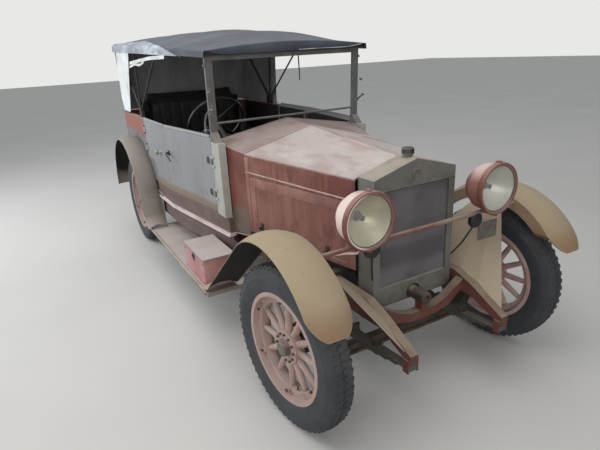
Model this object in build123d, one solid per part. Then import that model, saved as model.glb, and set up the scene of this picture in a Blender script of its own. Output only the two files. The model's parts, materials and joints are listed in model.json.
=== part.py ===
from build123d import *
import math
import os

# An open four-door touring car of the 1920s, in millimetres.
# +X is the car's left, the front faces -Y, +Z is up, and the ground is z = 0.
# Places along the car are distances behind the front axle; aft() turns them into y.

# Overall layout
wheelbase = 2920
track = 1351
rear_overhang = 700
axle_height = 396
rest_steer_deg = 6

# Clearances
seat_gap = 0.3
panel_gap = 6
pin_clearance = 0.05
moving_gap = 8

# Tyres and wheels
tyre_width = 125
tyre_crown_drop = 14
tyre_wall = 9
rim_seat_radius = 252
rim_flange_radius = 268
rim_half_width = 50
rim_wall = 4
felloe_inner_radius = 214
felloe_half_width = 22
spoke_count = 12
spoke_hub_radius = 18
spoke_rim_radius = 13
hub_flange_radius = 80
hub_flange_inner = -22
hub_flange_outer = 24
hub_barrel_radius = 38
hub_inner_end = -44
hub_outer_end = 50
hub_cap_radius = 31
spindle_radius = 16
drum_radius = 150
drum_inner_face = -88
drum_outer_face = -34

# Front axle and steering
kingpin_inset = 95
kingpin_radius = 11
fist_radius = 24
fist_half_height = 40
yoke_gap = 1
yoke_thickness = 18
yoke_half_width = 26
yoke_back = 28
axle_beam_bottom = 222
axle_beam_top = 280
axle_beam_half_width = 23
axle_beam_web_recess = 12
axle_beam_flange = 13
steering_arm_length = 175
steering_arm_half_width = 14
rod_eye_radius = 18
rod_eye_height = 24
rod_pin_radius = 8
rod_open_clearance = 0.6
track_rod_radius = 10

# Chassis
rail_half_spacing_front = 283
rail_half_spacing_rear = 400
rail_taper_start = 300
rail_taper_end = 1100
rail_width = 44
rail_depth = 108
rail_top = 550
rail_wall = 5
rail_end = wheelbase + 526
kick_height = 80
kick_start = wheelbase - 470
kick_top = wheelbase - 270
kick_end = wheelbase + 200
horn_tip = -398
horn_tip_height = 412
horn_depth = 44
horn_bend_place = -210
horn_bend_height = 506
horn_root_place = -90
horn_under_place = -200
horn_under_height = 450
horn_under_root = -60
crank_height = 496
crank_tube_radius = 32
crank_bore_radius = 13
cross_front = -150
cross_front_width = 46
cross_rear_width = 50
cross_end_top = 522
cross_end_low = 474
cross_dip_top = ((150, 452), (80, 428))
cross_dip_low = ((170, 405), (90, 384))
# The crossmembers behind the engine, each (place, bottom, top)
cross_rows = ((1320, 500, 544), (wheelbase - 1020, 500, 544), (wheelbase - 360, 520, 570))
saddle_place = -40
saddle_width = 60
saddle_depth = 26

# Springs and rear axle
leaf_width = 46
leaf_thickness = 7
leaf_count = 5
spring_seat = 44
leaf_taper = 0.18
spring_eye_radius = 18
spring_pin_radius = 8
hanger_plate = 6
hanger_half_length = 17
front_spring_rear_eye = 560
rear_spring_half_length = 560
rear_spring_offset = 60
rear_spring_eye_height = 430
rear_spring_spacing = 12
axle_pad_thickness = 22
axle_pad_half_length = 40
rear_axle_tube_radius = 36
banjo_radius = 132
banjo_half_width = 95
torque_tube_radius = 38
gearbox_output_height = 450

# Engine, radiator and lamps
engine_half_width = 165
engine_front = 130
engine_rear = 790
engine_bottom = 420
engine_top = 920
gearbox_rear = 1280
gearbox_half_width = 110
gearbox_bottom = 440
engine_arm_places = (200, 600)
engine_arm_length = 50
engine_arm_thickness = 20
engine_arm_overhang = 10
radiator_front = -70
radiator_rear = 50
radiator_half_width = 247
radiator_eaves = 1103
radiator_apex = 1172
radiator_bottom = 470
radiator_frame_width = 36
radiator_header_depth = 58
radiator_foot_depth = 95
core_setback = 16
cap_radius = 27
cap_height = 30
lamp_x = 381
lamp_front = -225
lamp_height = 990
lamp_radius = 125
lamp_depth = 165
lamp_back_radius = 58
lamp_wall = 3
lamp_ring_depth = 24
lamp_glass_thickness = 5
lamp_bar_y = -150
lamp_bar_height = 862
lamp_bar_radius = 11

# Bonnet and scuttle
bonnet_front = 56
bonnet_rear = 882
bonnet_front_half = 262
bonnet_rear_half = 452
bonnet_front_shoulder = 1092
bonnet_rear_shoulder = 1107
bonnet_front_ridge = 1166
bonnet_rear_ridge = 1222
bonnet_sheet = 5
bonnet_hem = 632
bonnet_rod_radius = 5
scuttle_rear = 1192
scuttle_rear_half = 526
scuttle_rear_shoulder = 1152
scuttle_rear_ridge = 1244
scuttle_wall = 20
scuttle_hem = 600
bulkhead_thickness = 12
dash_face = 1150
dash_thickness = 16
dash_hem = 985

# Body
pillar_front = 1046
pillar_rear = 1182
pillar_depth = 46
pillar_top = 1154
door_seam = wheelbase - 998
rear_hinge_line = wheelbase - 412
body_half_seam = 645
body_half_rear = 655
body_rear = wheelbase + 500
body_corner_radius = 100
wall_thickness = 42
door_thickness = 44
door_bottom = 696
door_top = 1180
door_edge_radius = 14
door_arch_step = 866
door_arch_start = wheelbase - 635
door_arch_radius = 70
hinge_offset = 9
hinge_pin_radius = 4
hinge_eye_radius = 8
hinge_eye_height = 40
hinge_knuckle_height = 15
hinge_leaf_length = 40
front_hinge_heights = (820, 1030)
rear_hinge_heights = (950, 1100)
centre_pillar_width = 36
centre_pillar_depth = 34
floor_bottom = 576
floor_thickness = 22
floor_rear = wheelbase - 420
rear_floor_bottom = 650
sill_top = 688
sill_bottom = 560
sill_thickness = 40
sill_bead_radius = 11
valance_bottom = 428
valance_inset = 16
valance_thickness = 6
sill_rear = wheelbase - 590
rear_body_bottom = 592
wheel_arch_radius = 462
wheelhouse_depth = 79
wheelhouse_half_width = body_half_rear - wheelhouse_depth
wheelhouse_lead = 150
wheelhouse_wall = 14

# Windscreen, hood and seats
post_x = 522
post_width = 46
post_depth = 20
post_lean = 24
screen_top = 1650
screen_rail_height = 24
screen_lower_rail_height = 1262
screen_lower_rail_radius = 7
post_foot_height = 12
post_foot_length = 70
post_setback = 22
hood_front = 1070
hood_middle = wheelbase - 320
hood_rear = wheelbase + 542
hood_front_half = 568
hood_rear_half = 650
hood_front_edge = screen_top + 30
hood_thickness = 9
flap_top = wheelbase - 180
flap_foot = wheelbase + 165
bow_thickness = 22
bow_width = 44
bow_clearance = 2
# The hood's rows: place, half width, edge height, crown over the edges, hem height
hood_rows = (
    (hood_front, hood_front_half, hood_front_edge, 34, screen_top - 5),
    (hood_front + 430, hood_front_half + 23, screen_top + 58, 86, screen_top + 12),
    (hood_middle - 550, hood_rear_half - 29, screen_top + 78, 104, screen_top + 32),
    (hood_middle + 50, hood_rear_half, screen_top + 104, 92, screen_top + 54),
    (hood_rear - 212, hood_rear_half, screen_top + 132, 68, screen_top + 72),
    (hood_rear, hood_rear_half, screen_top + 130, 54, screen_top + 78),
)
bow_places = tuple(line[0] for line in hood_rows[1:-1])
pivot_place = wheelbase - 220
pivot_height = 1226
iron_radius = 7
iron_clearance = 14
header_inset = 22
header_place = 20
header_depth = 80
header_drop = 14
pivot_plate_half = 36
front_cushion_front = door_seam - 442
front_cushion_rear = door_seam + 53
front_cushion_top = 870
front_back_rear = door_seam + 178
front_back_top = 1120
rear_cushion_front = wheelbase - 350
rear_cushion_rear = wheelbase + 210
rear_cushion_top = 880
rear_back_front = wheelbase + 230
rear_back_top = 1368
rear_seat_half_width = wheelhouse_half_width - 20
cushion_radius = 40

# Steering wheel
steering_wheel_x = -330
steering_wheel_place = front_cushion_front + 160
steering_wheel_height = 1212
steering_wheel_radius = 200
steering_rim_radius = 11
steering_hub_radius = 30
steering_hub_low = 30
steering_hub_high = 14
column_foot_x = -300
column_foot_place = 800
column_foot_height = 640
column_radius = 16
steering_box_length = 120
steering_box_half_width = 36
steering_box_height = 100

# Fenders and running boards
fender_inner = 588
fender_outer = 790
fender_crown = 26
fender_sheet = 4
fender_bead_radius = 8
fender_arc_place = -8
fender_arc_height = 452
fender_arc_radius = 458
fender_tip_drop = 64
fender_slope_deg = 40
fender_sweep_radius = 160
fender_skirt = 60
fender_tip_start = -180
fender_reach_front = -700
fender_skirt_front = -150
fender_skirt_rear = 420
# The apron's edges: (place, height) along the rail, and (place, rise over the skirt's lower edge)
apron_inner_row = ((-360, 424), (-210, 512), (-90, 545), (280, 545))
apron_outer_row = ((-80, 6), (-30, 10), (10, 10), (60, 8))
rear_fender_outer = 815
rear_fender_arc_place = wheelbase - 40
rear_fender_arc_height = 440
rear_fender_arc_radius = 540
rear_fender_slope_deg = 70
rear_fender_sweep_radius = 120
rear_fender_tail_deg = 88
board_outer = fender_outer - 4
board_inner = 522
board_top = 325
board_thickness = 26
board_front = 830
board_rear = wheelbase - 660
board_bracket_places = (board_front + 170, board_front + 730, board_rear - 110)
board_bracket_width = 36
toolbox_outer = board_outer - 22
toolbox_inner = board_outer - 226
toolbox_front = 912
toolbox_rear = 1300
toolbox_top = 505
toolbox_wall = 6
toolbox_lid_thickness = 12

# Fuel tank and spare wheel
tank_front = wheelbase + 220
tank_rear = wheelbase + 425
tank_bottom = 455
tank_top = 615
tank_corner_radius = 40
spare_height = 722
spare_carrier_radius = 74
spare_carrier_thickness = 14

# Values worked out from the sizes above
fender_reach = fender_arc_radius + fender_crown
front_overhang = fender_reach * math.sin(math.radians(fender_tip_drop)) - fender_arc_place
overall_length = front_overhang + wheelbase + rear_overhang
front_axle_y = front_overhang - overall_length / 2
wheel_x = track / 2
kingpin_x = wheel_x - kingpin_inset
tyre_radius = axle_height
spare_place = wheelbase + rear_overhang - tyre_width / 2


def aft(distance):
    """The y of a place this far behind the front axle."""
    return front_axle_y + distance


def slab(x0, x1, y0, y1, z0, z1):
    """A block between two corners."""
    middle = Pos((x0 + x1) / 2, (y0 + y1) / 2, (z0 + z1) / 2)
    return middle * Box(abs(x1 - x0), abs(y1 - y0), abs(z1 - z0))


def side_prism(outline, x0, x1):
    """A side outline of (distance behind the front axle, height), run across from x0 to x1."""
    edge = Polyline(*[(x0, aft(place), z) for place, z in outline], close=True)
    return extrude(make_face(edge), amount=x1 - x0, dir=(1, 0, 0))


def front_prism(outline, place0, place1):
    """A front outline of (x, height), run lengthwise between two places."""
    edge = Polyline(*[(x, aft(place0), z) for x, z in outline], close=True)
    return extrude(make_face(edge), amount=place1 - place0, dir=(0, 1, 0))


def plan_prism(outline, z0, z1):
    """A plan outline of (x, distance behind the front axle), run up from z0 to z1."""
    edge = Polyline(*[(x, aft(place), z0) for x, place in outline], close=True)
    return extrude(make_face(edge), amount=z1 - z0, dir=(0, 0, 1))


def bar(start, end, radius):
    """A round bar from one point to another."""
    run = Vector(*end) - Vector(*start)
    return Solid.make_cylinder(radius, run.length, Plane(origin=start, z_dir=run))


def cross_bar(radius, x0, x1, place, z):
    """A round bar that runs across the car."""
    return bar((x0, aft(place), z), (x1, aft(place), z), radius)


def upright_bar(radius, x, place, z0, z1):
    """A round bar that stands upright."""
    return bar((x, aft(place), z0), (x, aft(place), z1), radius)


def front_loft(sections):
    """A solid through front outlines, each (place, [(x, height), ...])."""
    wires = []
    for place, outline in sections:
        wires.append(Wire.make_polygon([(x, aft(place), z) for x, z in outline]))
    return Solid.make_loft(wires, ruled=True)


def mirrored(part):
    """The same piece on the other side of the car."""
    return mirror(part, about=Plane.YZ)


def both_sides(part):
    """The piece and its mirror image, as two solids of one node."""
    return Compound(children=part.solids() + mirrored(part).solids())


def fused(first, *others):
    """One solid of several pieces that meet."""
    whole = first
    for other in others:
        whole = whole + other
    return whole


def save(name, part):
    solids = part.solids()
    shape = solids[0] if len(solids) == 1 else Compound(children=solids)
    export_step(shape, os.path.join("parts", name + ".step"))


# Wheels

def wheel_disc(outline):
    """A ring about the wheel's axle, from a section of (outboard, radius) points."""
    return revolve(make_face(Polyline(*outline, close=True)), Axis.X)


def wheel(with_drum):
    """An artillery wheel about the X axis: rim, felloe, spokes and hub, outboard +X."""
    flange = rim_flange_radius
    seat = rim_seat_radius
    half = rim_half_width
    rim = wheel_disc([
        (-half, seat - rim_wall), (-half, flange), (-half + rim_wall, flange),
        (-half + rim_wall, seat), (half - rim_wall, seat), (half - rim_wall, flange),
        (half, flange), (half, seat - rim_wall),
    ])
    felloe = wheel_disc([
        (-felloe_half_width, felloe_inner_radius), (-felloe_half_width, seat - rim_wall / 2),
        (felloe_half_width, seat - rim_wall / 2), (felloe_half_width, felloe_inner_radius),
    ])
    hub = wheel_disc([
        (hub_inner_end, 0), (hub_inner_end, hub_barrel_radius),
        (hub_flange_inner, hub_barrel_radius), (hub_flange_inner, hub_flange_radius),
        (hub_flange_outer, hub_flange_radius), (hub_flange_outer, hub_cap_radius),
        (hub_outer_end, hub_cap_radius), (hub_outer_end, 0),
    ])
    whole = fused(rim, felloe, hub)
    spoke_run = felloe_inner_radius - hub_flange_radius + 8
    spoke = Cone(spoke_hub_radius, spoke_rim_radius, spoke_run)
    spoke = Pos(0, 0, hub_flange_radius - 4 + spoke_run / 2) * spoke
    for index in range(spoke_count):
        whole = whole + Rot(360 * index / spoke_count, 0, 0) * spoke
    if with_drum:
        whole = whole + wheel_disc([
            (drum_inner_face, 0), (drum_inner_face, drum_radius),
            (drum_outer_face, drum_radius), (drum_outer_face, 0),
        ])
    bore_end = hub_outer_end - 8
    bore = bar((drum_inner_face - 10, 0, 0), (bore_end, 0, 0), spindle_radius + pin_clearance)
    return whole - bore


def tyre():
    """A tyre about the X axis, open towards the rim."""
    half = tyre_width / 2
    foot = rim_half_width - rim_wall - seat_gap
    base = rim_seat_radius + seat_gap
    belly = (rim_flange_radius + tyre_radius) / 2 - 8
    shoulder = (half - 14, tyre_radius - tyre_crown_drop)
    lip = (foot, base)
    inner_shoulder = (shoulder[0] - tyre_wall, shoulder[1] - tyre_wall)
    inner_lip = (foot - tyre_wall, base)
    bead_top = (foot, rim_flange_radius + 1)

    def flipped(point):
        return (-point[0], point[1])

    edges = [
        Line(lip, bead_top),
        ThreePointArc(bead_top, (half, belly), shoulder),
        ThreePointArc(shoulder, (0, tyre_radius), flipped(shoulder)),
        ThreePointArc(flipped(shoulder), (-half, belly), flipped(bead_top)),
        Line(flipped(bead_top), flipped(lip)),
        Line(flipped(lip), flipped(inner_lip)),
        ThreePointArc(flipped(inner_lip), (-half + tyre_wall, belly), flipped(inner_shoulder)),
        ThreePointArc(flipped(inner_shoulder), (0, tyre_radius - tyre_wall), inner_shoulder),
        ThreePointArc(inner_shoulder, (half - tyre_wall, belly), inner_lip),
        Line(inner_lip, lip),
    ]
    return revolve(make_face(edges), Axis.X)


def steered(part, side):
    """A front wheel's piece, turned about its kingpin to the parked steering angle."""
    pin = Pos(side * kingpin_x, aft(0), 0)
    return pin * Rot(0, 0, rest_steer_deg) * pin.inverse() * part


def at_wheel(part, side, place):
    """A wheel piece moved from the origin to its axle; side is +1 on the left."""
    turned = part if side > 0 else mirrored(part)
    return Pos(side * wheel_x, aft(place), axle_height) * turned


# Front axle, steering and rear axle

def front_axle_beam():
    """A forged beam that drops between the springs, with a fist at each kingpin."""
    top_step = 410
    outline = [
        (-kingpin_x, axle_height + 24), (-kingpin_x + 80, axle_height + 24),
        (-top_step + 20, axle_beam_top), (top_step - 20, axle_beam_top),
        (kingpin_x - 80, axle_height + 24), (kingpin_x, axle_height + 24),
        (kingpin_x, axle_height - 24), (kingpin_x - 50, axle_height - 24),
        (top_step + 10, axle_beam_bottom), (-top_step - 10, axle_beam_bottom),
        (-kingpin_x + 50, axle_height - 24), (-kingpin_x, axle_height - 24),
    ]
    beam = front_prism(outline, -axle_beam_half_width, axle_beam_half_width)
    for face in (-1, 1):
        outer = face * axle_beam_half_width
        inner = face * (axle_beam_half_width - axle_beam_web_recess)
        beam = beam - slab(-top_step + 40, top_step - 40, aft(inner), aft(outer),
                           axle_beam_bottom + axle_beam_flange, axle_beam_top - axle_beam_flange)
    for side in (-1, 1):
        beam = beam + upright_bar(fist_radius, side * kingpin_x, 0,
                                  axle_height - fist_half_height, axle_height + fist_half_height)
    for side in (-1, 1):
        beam = beam - upright_bar(kingpin_radius + pin_clearance, side * kingpin_x, 0,
                                  axle_height - 60, axle_height + 60)
    return beam


def knuckle(side):
    """A steering knuckle: yoke, kingpin, spindle and steering arm."""
    low = axle_height - fist_half_height - yoke_gap
    high = axle_height + fist_half_height + yoke_gap
    x0 = kingpin_x - yoke_half_width
    x1 = kingpin_x + yoke_back + yoke_thickness
    width = yoke_half_width
    upper = slab(x0, x1, aft(-width), aft(width), high, high + yoke_thickness)
    lower = slab(x0, x1, aft(-width), aft(width), low - yoke_thickness, low)
    back = slab(kingpin_x + yoke_back, x1, aft(-width), aft(width),
                low - yoke_thickness, high + yoke_thickness)
    pin = upright_bar(kingpin_radius, kingpin_x, 0, low - yoke_thickness, high + yoke_thickness)
    spindle = cross_bar(spindle_radius, x1 - 2, wheel_x + hub_outer_end - 14, 0, axle_height)
    arm = slab(kingpin_x - steering_arm_half_width, kingpin_x + steering_arm_half_width,
               aft(0), aft(steering_arm_length), low - yoke_thickness, low - 2)
    arm_end = upright_bar(steering_arm_half_width, kingpin_x, steering_arm_length,
                          low - yoke_thickness, low - 2)
    rod_pin = upright_bar(rod_pin_radius, kingpin_x, steering_arm_length,
                          low - 4, low + rod_eye_height + 6)
    whole = fused(upper, lower, back, pin, spindle, arm, arm_end, rod_pin)
    return steered(whole if side > 0 else mirrored(whole), side)


def track_rod():
    """The rod between the two steering arms, with an eye at each end."""
    low = axle_height - fist_half_height - yoke_gap + 2
    turn = math.radians(rest_steer_deg)
    shift = -steering_arm_length * math.sin(turn)
    place = steering_arm_length * math.cos(turn)
    middle = low + rod_eye_height / 2
    rod = cross_bar(track_rod_radius, shift - kingpin_x, shift + kingpin_x, place, middle)
    for side in (-1, 1):
        rod = rod + upright_bar(rod_eye_radius, shift + side * kingpin_x, place,
                                low, low + rod_eye_height)
    clearances = ((1, pin_clearance), (-1, rod_open_clearance))
    for side, clearance in clearances:
        rod = rod - upright_bar(rod_pin_radius + clearance, shift + side * kingpin_x, place,
                                low - 5, low + rod_eye_height + 5)
    return rod


def leaf_spring(front_eye, rear_eye, middle, x):
    """A stack of straight-sided leaves, each shorter than the one above, with an eye at each end.

    front_eye, rear_eye and the seat's middle are (place, height) of the top leaf.
    """
    whole = None
    seat_place, seat_z = middle
    half = leaf_thickness * 0.51
    for index in range(leaf_count):
        share = 1 - index * leaf_taper
        drop = index * leaf_thickness
        ends = []
        for place, z in (front_eye, rear_eye):
            ends.append((seat_place + (place - seat_place) * share,
                         seat_z + (z - seat_z) * share ** 2 - drop))
        (front, front_z), (rear, rear_z) = ends
        z = seat_z - drop
        outline = [
            (front, front_z - half), (seat_place - spring_seat, z - half),
            (seat_place + spring_seat, z - half), (rear, rear_z - half),
            (rear, rear_z + half), (seat_place + spring_seat, z + half),
            (seat_place - spring_seat, z + half), (front, front_z + half),
        ]
        leaf = side_prism(outline, x - leaf_width / 2, x + leaf_width / 2)
        whole = leaf if whole is None else whole + leaf
    for place, z in (front_eye, rear_eye):
        whole = whole + cross_bar(spring_eye_radius, x - leaf_width / 2, x + leaf_width / 2,
                                  place, z)
    for place, z in (front_eye, rear_eye):
        whole = whole - cross_bar(spring_pin_radius + seat_gap, x - leaf_width, x + leaf_width,
                                  place, z)
    return whole


def front_spring_eyes():
    """The (place, height) of a front spring's two eyes, under the rail."""
    front = (horn_tip + 22, horn_tip_height - horn_depth - 26)
    rear = (front_spring_rear_eye, rail_top - rail_depth - 24)
    return front, rear


def rear_spring_x():
    """The middle of a rear spring, outside the rail."""
    return rail_half_spacing_rear + rail_width / 2 + rear_spring_spacing + leaf_width / 2


def rear_spring_eyes():
    """The (place, height) of a rear spring's two eyes."""
    front = (wheelbase - rear_spring_half_length, rear_spring_eye_height)
    rear = (wheelbase + rear_spring_half_length - rear_spring_offset, rear_spring_eye_height)
    return front, rear


def spring_fork(place, z, top):
    """A fork under the left rail that holds a front spring's eye on its pin."""
    x = rail_half_spacing_front
    reach = leaf_width / 2 + seat_gap
    outer = reach + hanger_plate
    block = slab(x - outer, x + outer, aft(place - hanger_half_length),
                 aft(place + hanger_half_length), z - hanger_half_length, top)
    slot = slab(x - reach, x + reach, aft(place - 2 * hanger_half_length),
                aft(place + 2 * hanger_half_length), z - 2 * hanger_half_length,
                z + spring_eye_radius + 1)
    pin = cross_bar(spring_pin_radius, x - outer, x + outer, place, z)
    return block - slot + pin


def spring_bracket(place, z, top):
    """A plate on the left rail's outer face, with the pin of a rear spring's eye."""
    rail_face = rail_half_spacing_rear + rail_width / 2
    plate_face = rail_face + rear_spring_spacing - seat_gap
    plate = slab(rail_face - 1, plate_face, aft(place - hanger_half_length),
                 aft(place + hanger_half_length), z - hanger_half_length, top)
    pin_end = rear_spring_x() + leaf_width / 2 + 4
    pin = cross_bar(spring_pin_radius, plate_face - 2, pin_end, place, z)
    return plate + pin


def rail_x(place):
    """The distance of a chassis rail's middle from the car's middle at a place."""
    share = (place - rail_taper_start) / (rail_taper_end - rail_taper_start)
    share = min(1, max(0, share))
    return rail_half_spacing_front + share * (rail_half_spacing_rear - rail_half_spacing_front)


def rail_plan(inset_outer, inset_inner):
    """The plan outline of the left rail between its two faces."""
    outer = rail_width / 2 - inset_outer
    inner = -rail_width / 2 + inset_inner
    places = (horn_tip - 20, rail_taper_start, rail_taper_end, rail_end)
    outline = [(rail_x(place) + outer, place) for place in places]
    outline += [(rail_x(place) + inner, place) for place in reversed(places)]
    return outline


def rail_side(inset):
    """The side outline of a rail, from the horn's tip over the rear axle to the end."""
    top = rail_top - inset
    low = rail_top - rail_depth + inset
    rise = kick_height
    return [
        (horn_tip + inset, horn_tip_height - inset), (horn_bend_place, horn_bend_height - inset),
        (horn_root_place, top), (kick_start, top), (kick_top, top + rise), (kick_end, top + rise),
        (rail_end, top + rise / 3), (rail_end, low + rise / 3), (kick_end, low + rise),
        (kick_top, low + rise), (kick_start, low), (horn_under_root, low),
        (horn_under_place, horn_under_height + inset),
        (horn_tip + inset, horn_tip_height - horn_depth + inset),
    ]


def frame_rails():
    """The two channel rails with their horns and the hangers of the springs."""
    tall = (0, 2 * rail_top)
    wide = (0, 2 * rail_half_spacing_rear)
    rail = plan_prism(rail_plan(0, 0), *tall) & side_prism(rail_side(0), *wide)
    pocket = plan_prism(rail_plan(rail_wall, -2 * rail_wall), *tall)
    pocket = pocket & side_prism(rail_side(rail_wall), *wide)
    pocket = pocket & slab(*wide, aft(saddle_width), aft(rail_end - saddle_width), *tall)
    rail = rail - pocket
    rail_low = rail_top - rail_depth
    fork_tops = (horn_tip_height - horn_depth / 2, rail_low + rail_wall)
    for (place, z), top in zip(front_spring_eyes(), fork_tops):
        rail = rail + spring_fork(place, z, top)
    for place, z in rear_spring_eyes():
        rail = rail + spring_bracket(place, z, rail_low + rail_depth / 2)
    return both_sides(rail)


def front_crossmember():
    """The dipped crossmember and the radiator's saddle, with the starting handle's tube."""
    reach = rail_half_spacing_front - rail_width / 2 - seat_gap
    upper = [(reach, cross_end_top), *cross_dip_top]
    lower = [(reach, cross_end_low), *cross_dip_low]
    outline = [(-x, z) for x, z in upper] + upper[::-1] + lower + [(-x, z) for x, z in lower[::-1]]
    cross = front_prism(outline, cross_front, cross_front + cross_front_width)
    tube = bar((0, aft(cross_front - 16), crank_height),
               (0, aft(engine_front - 20), crank_height), crank_tube_radius)
    foot = slab(-16, 16, aft(cross_front), aft(cross_front + cross_front_width),
                crank_height - 2 * crank_tube_radius - 12, crank_height)
    saddle = slab(-reach, reach, aft(saddle_place), aft(saddle_place + saddle_width),
                  radiator_bottom - saddle_depth, radiator_bottom - seat_gap)
    return fused(cross, tube, foot, saddle) - bar(
        (0, aft(cross_front - 30), crank_height), (0, aft(engine_front - 60), crank_height),
        crank_bore_radius)


def crossmembers():
    """The flat crossmembers behind the engine, between the webs of the rails."""
    solids = []
    for place, low, high in cross_rows:
        across = rail_x(place) + rail_width / 2 - rail_wall - seat_gap
        solids += slab(-across, across, aft(place), aft(place + cross_rear_width), low, high).solids()
    return Compound(children=solids)


def rear_crossmember():
    """The last crossmember, with the plate, stub and struts that carry the spare wheel."""
    end_x = rail_half_spacing_rear - rail_width / 2 - seat_gap
    end_low = rail_top - rail_depth + kick_height / 3
    end_high = rail_top + kick_height / 3
    cross = slab(-end_x, end_x, aft(rail_end - cross_rear_width), aft(rail_end), end_low, end_high)
    plate_back = spare_place + hub_inner_end
    plate = bar((0, aft(plate_back - spare_carrier_thickness), spare_height),
                (0, aft(plate_back - seat_gap), spare_height), spare_carrier_radius)
    stub = bar((0, aft(plate_back - 4), spare_height),
               (0, aft(spare_place + hub_outer_end - 14), spare_height), spindle_radius)
    whole = fused(cross, plate, stub)
    for side in (-1, 1):
        whole = whole + bar((side * 190, aft(rail_end - 14), end_high - 16),
                            (side * 40, aft(plate_back - 10), spare_height), 12)
    return whole


def axle_pad_bottom():
    """The underside of the rear axle's spring pads."""
    return axle_height - rear_axle_tube_radius + 6 - axle_pad_thickness


def rear_axle():
    """The driven axle: tubes, a round centre casing and the two stub shafts."""
    reach = wheel_x + drum_inner_face - 4
    tube = cross_bar(rear_axle_tube_radius, -reach, reach, wheelbase, axle_height)
    casing = cross_bar(banjo_radius, -banjo_half_width, banjo_half_width, wheelbase, axle_height)
    stub_end = wheel_x + hub_outer_end - 14
    stub = cross_bar(spindle_radius, -stub_end, stub_end, wheelbase, axle_height)
    whole = fused(tube, casing, stub)
    pad_x = rear_spring_x()
    pad_half = leaf_width / 2 + 3
    for side in (-1, 1):
        whole = whole + slab(side * (pad_x - pad_half), side * (pad_x + pad_half),
                             aft(wheelbase - axle_pad_half_length),
                             aft(wheelbase + axle_pad_half_length),
                             axle_pad_bottom(), axle_pad_bottom() + axle_pad_thickness)
    return whole


def engine_and_gearbox():
    """One plain block for the engine, with the gearbox and torque tube behind it."""
    engine = slab(-engine_half_width, engine_half_width, aft(engine_front), aft(engine_rear),
                  engine_bottom, engine_top)
    top = floor_bottom - 12
    gearbox = slab(-gearbox_half_width, gearbox_half_width, aft(engine_rear - 1),
                   aft(gearbox_rear), gearbox_bottom, top)
    tube_start = (0, aft(gearbox_rear - 5), gearbox_output_height)
    tube_end = (0, aft(wheelbase - banjo_radius - 1), axle_height)
    tube = bar(tube_start, tube_end, torque_tube_radius)
    whole = fused(engine, gearbox, tube)
    for place in engine_arm_places:
        reach = rail_x(place) + engine_arm_overhang
        whole = whole + slab(-reach, reach, aft(place), aft(place + engine_arm_length),
                             rail_top + seat_gap, rail_top + seat_gap + engine_arm_thickness)
    return whole


# Radiator and lamps

def gable(half, low, eaves, apex):
    return [(-half, low), (half, low), (half, eaves), (0, apex), (-half, eaves)]


def radiator_shell():
    """The plated radiator case with its pediment top, open to the core."""
    case = front_prism(gable(radiator_half_width, radiator_bottom, radiator_eaves,
                             radiator_apex), radiator_front, radiator_rear)
    window = front_prism([
        (-radiator_half_width + radiator_frame_width, radiator_bottom + radiator_foot_depth),
        (radiator_half_width - radiator_frame_width, radiator_bottom + radiator_foot_depth),
        (radiator_half_width - radiator_frame_width, radiator_eaves - radiator_header_depth),
        (-radiator_half_width + radiator_frame_width, radiator_eaves - radiator_header_depth),
    ], radiator_front - 1, radiator_rear + 1)
    tunnel = bar((0, aft(radiator_front - 5), crank_height),
                 (0, aft(radiator_rear + 5), crank_height), crank_tube_radius + 12)
    shell = case - window - tunnel
    neck = upright_bar(cap_radius - 4, 0, -5, radiator_apex - 22, radiator_apex + 8)
    cap = upright_bar(cap_radius, 0, -5, radiator_apex + 8, radiator_apex + 8 + cap_height)
    return fused(shell, neck, cap)


def radiator_core():
    """The honeycomb block inside the case."""
    half = radiator_half_width - radiator_frame_width - seat_gap
    return slab(-half, half, aft(radiator_front + core_setback), aft(radiator_rear - 8),
                radiator_bottom + radiator_foot_depth + seat_gap,
                radiator_eaves - radiator_header_depth - seat_gap)


def lamp_profile(grow):
    """Half of a lamp's outline, as (depth behind the front, radius)."""
    return [
        (0, lamp_radius + grow), (lamp_ring_depth, lamp_radius + grow),
        (lamp_ring_depth + 2, lamp_radius - 5 + grow), (90, lamp_radius - 14 + grow),
        (135, lamp_radius - 42 + grow), (lamp_depth + grow, lamp_back_radius - 20 + grow),
        (lamp_depth + grow, 0), (0, 0),
    ]


def lamp_turning(outline):
    """A shape turned about a lamp's axis on the left side."""
    points = [(lamp_x + radius, aft(lamp_front + depth), lamp_height) for depth, radius in outline]
    axis = Axis((lamp_x, aft(lamp_front), lamp_height), (0, 1, 0))
    return revolve(make_face(Polyline(*points, close=True)), axis)


def headlamps():
    """Two bowl lamps, each on a post that stands on the lamp bar."""
    bowl = lamp_turning(lamp_profile(0))
    hollow = lamp_turning(lamp_profile(-lamp_wall)) & slab(
        lamp_x - 200, lamp_x + 200, aft(lamp_front + lamp_wall), aft(lamp_front + 300), 0, 1300)
    mouth = bar((lamp_x, aft(lamp_front - 5), lamp_height),
                (lamp_x, aft(lamp_front + 20), lamp_height), lamp_radius - 12)
    bowl = bowl - hollow - mouth
    post = upright_bar(17, lamp_x, lamp_bar_y, lamp_bar_height + lamp_bar_radius + seat_gap,
                       lamp_height - lamp_radius + 22)
    return both_sides(bowl + post)


def headlamp_glasses():
    """The two flat lamp glasses, just inside their rings."""
    glass = bar((lamp_x, aft(lamp_front + lamp_wall + seat_gap), lamp_height),
                (lamp_x, aft(lamp_front + lamp_wall + lamp_glass_thickness), lamp_height),
                lamp_radius - lamp_wall - seat_gap)
    return both_sides(glass)


def lamp_bar():
    """The tie bar that carries the lamps between the fenders."""
    reach = fender_inner - seat_gap
    return cross_bar(lamp_bar_radius, -reach, reach, lamp_bar_y, lamp_bar_height)


# Bonnet and scuttle

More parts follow.
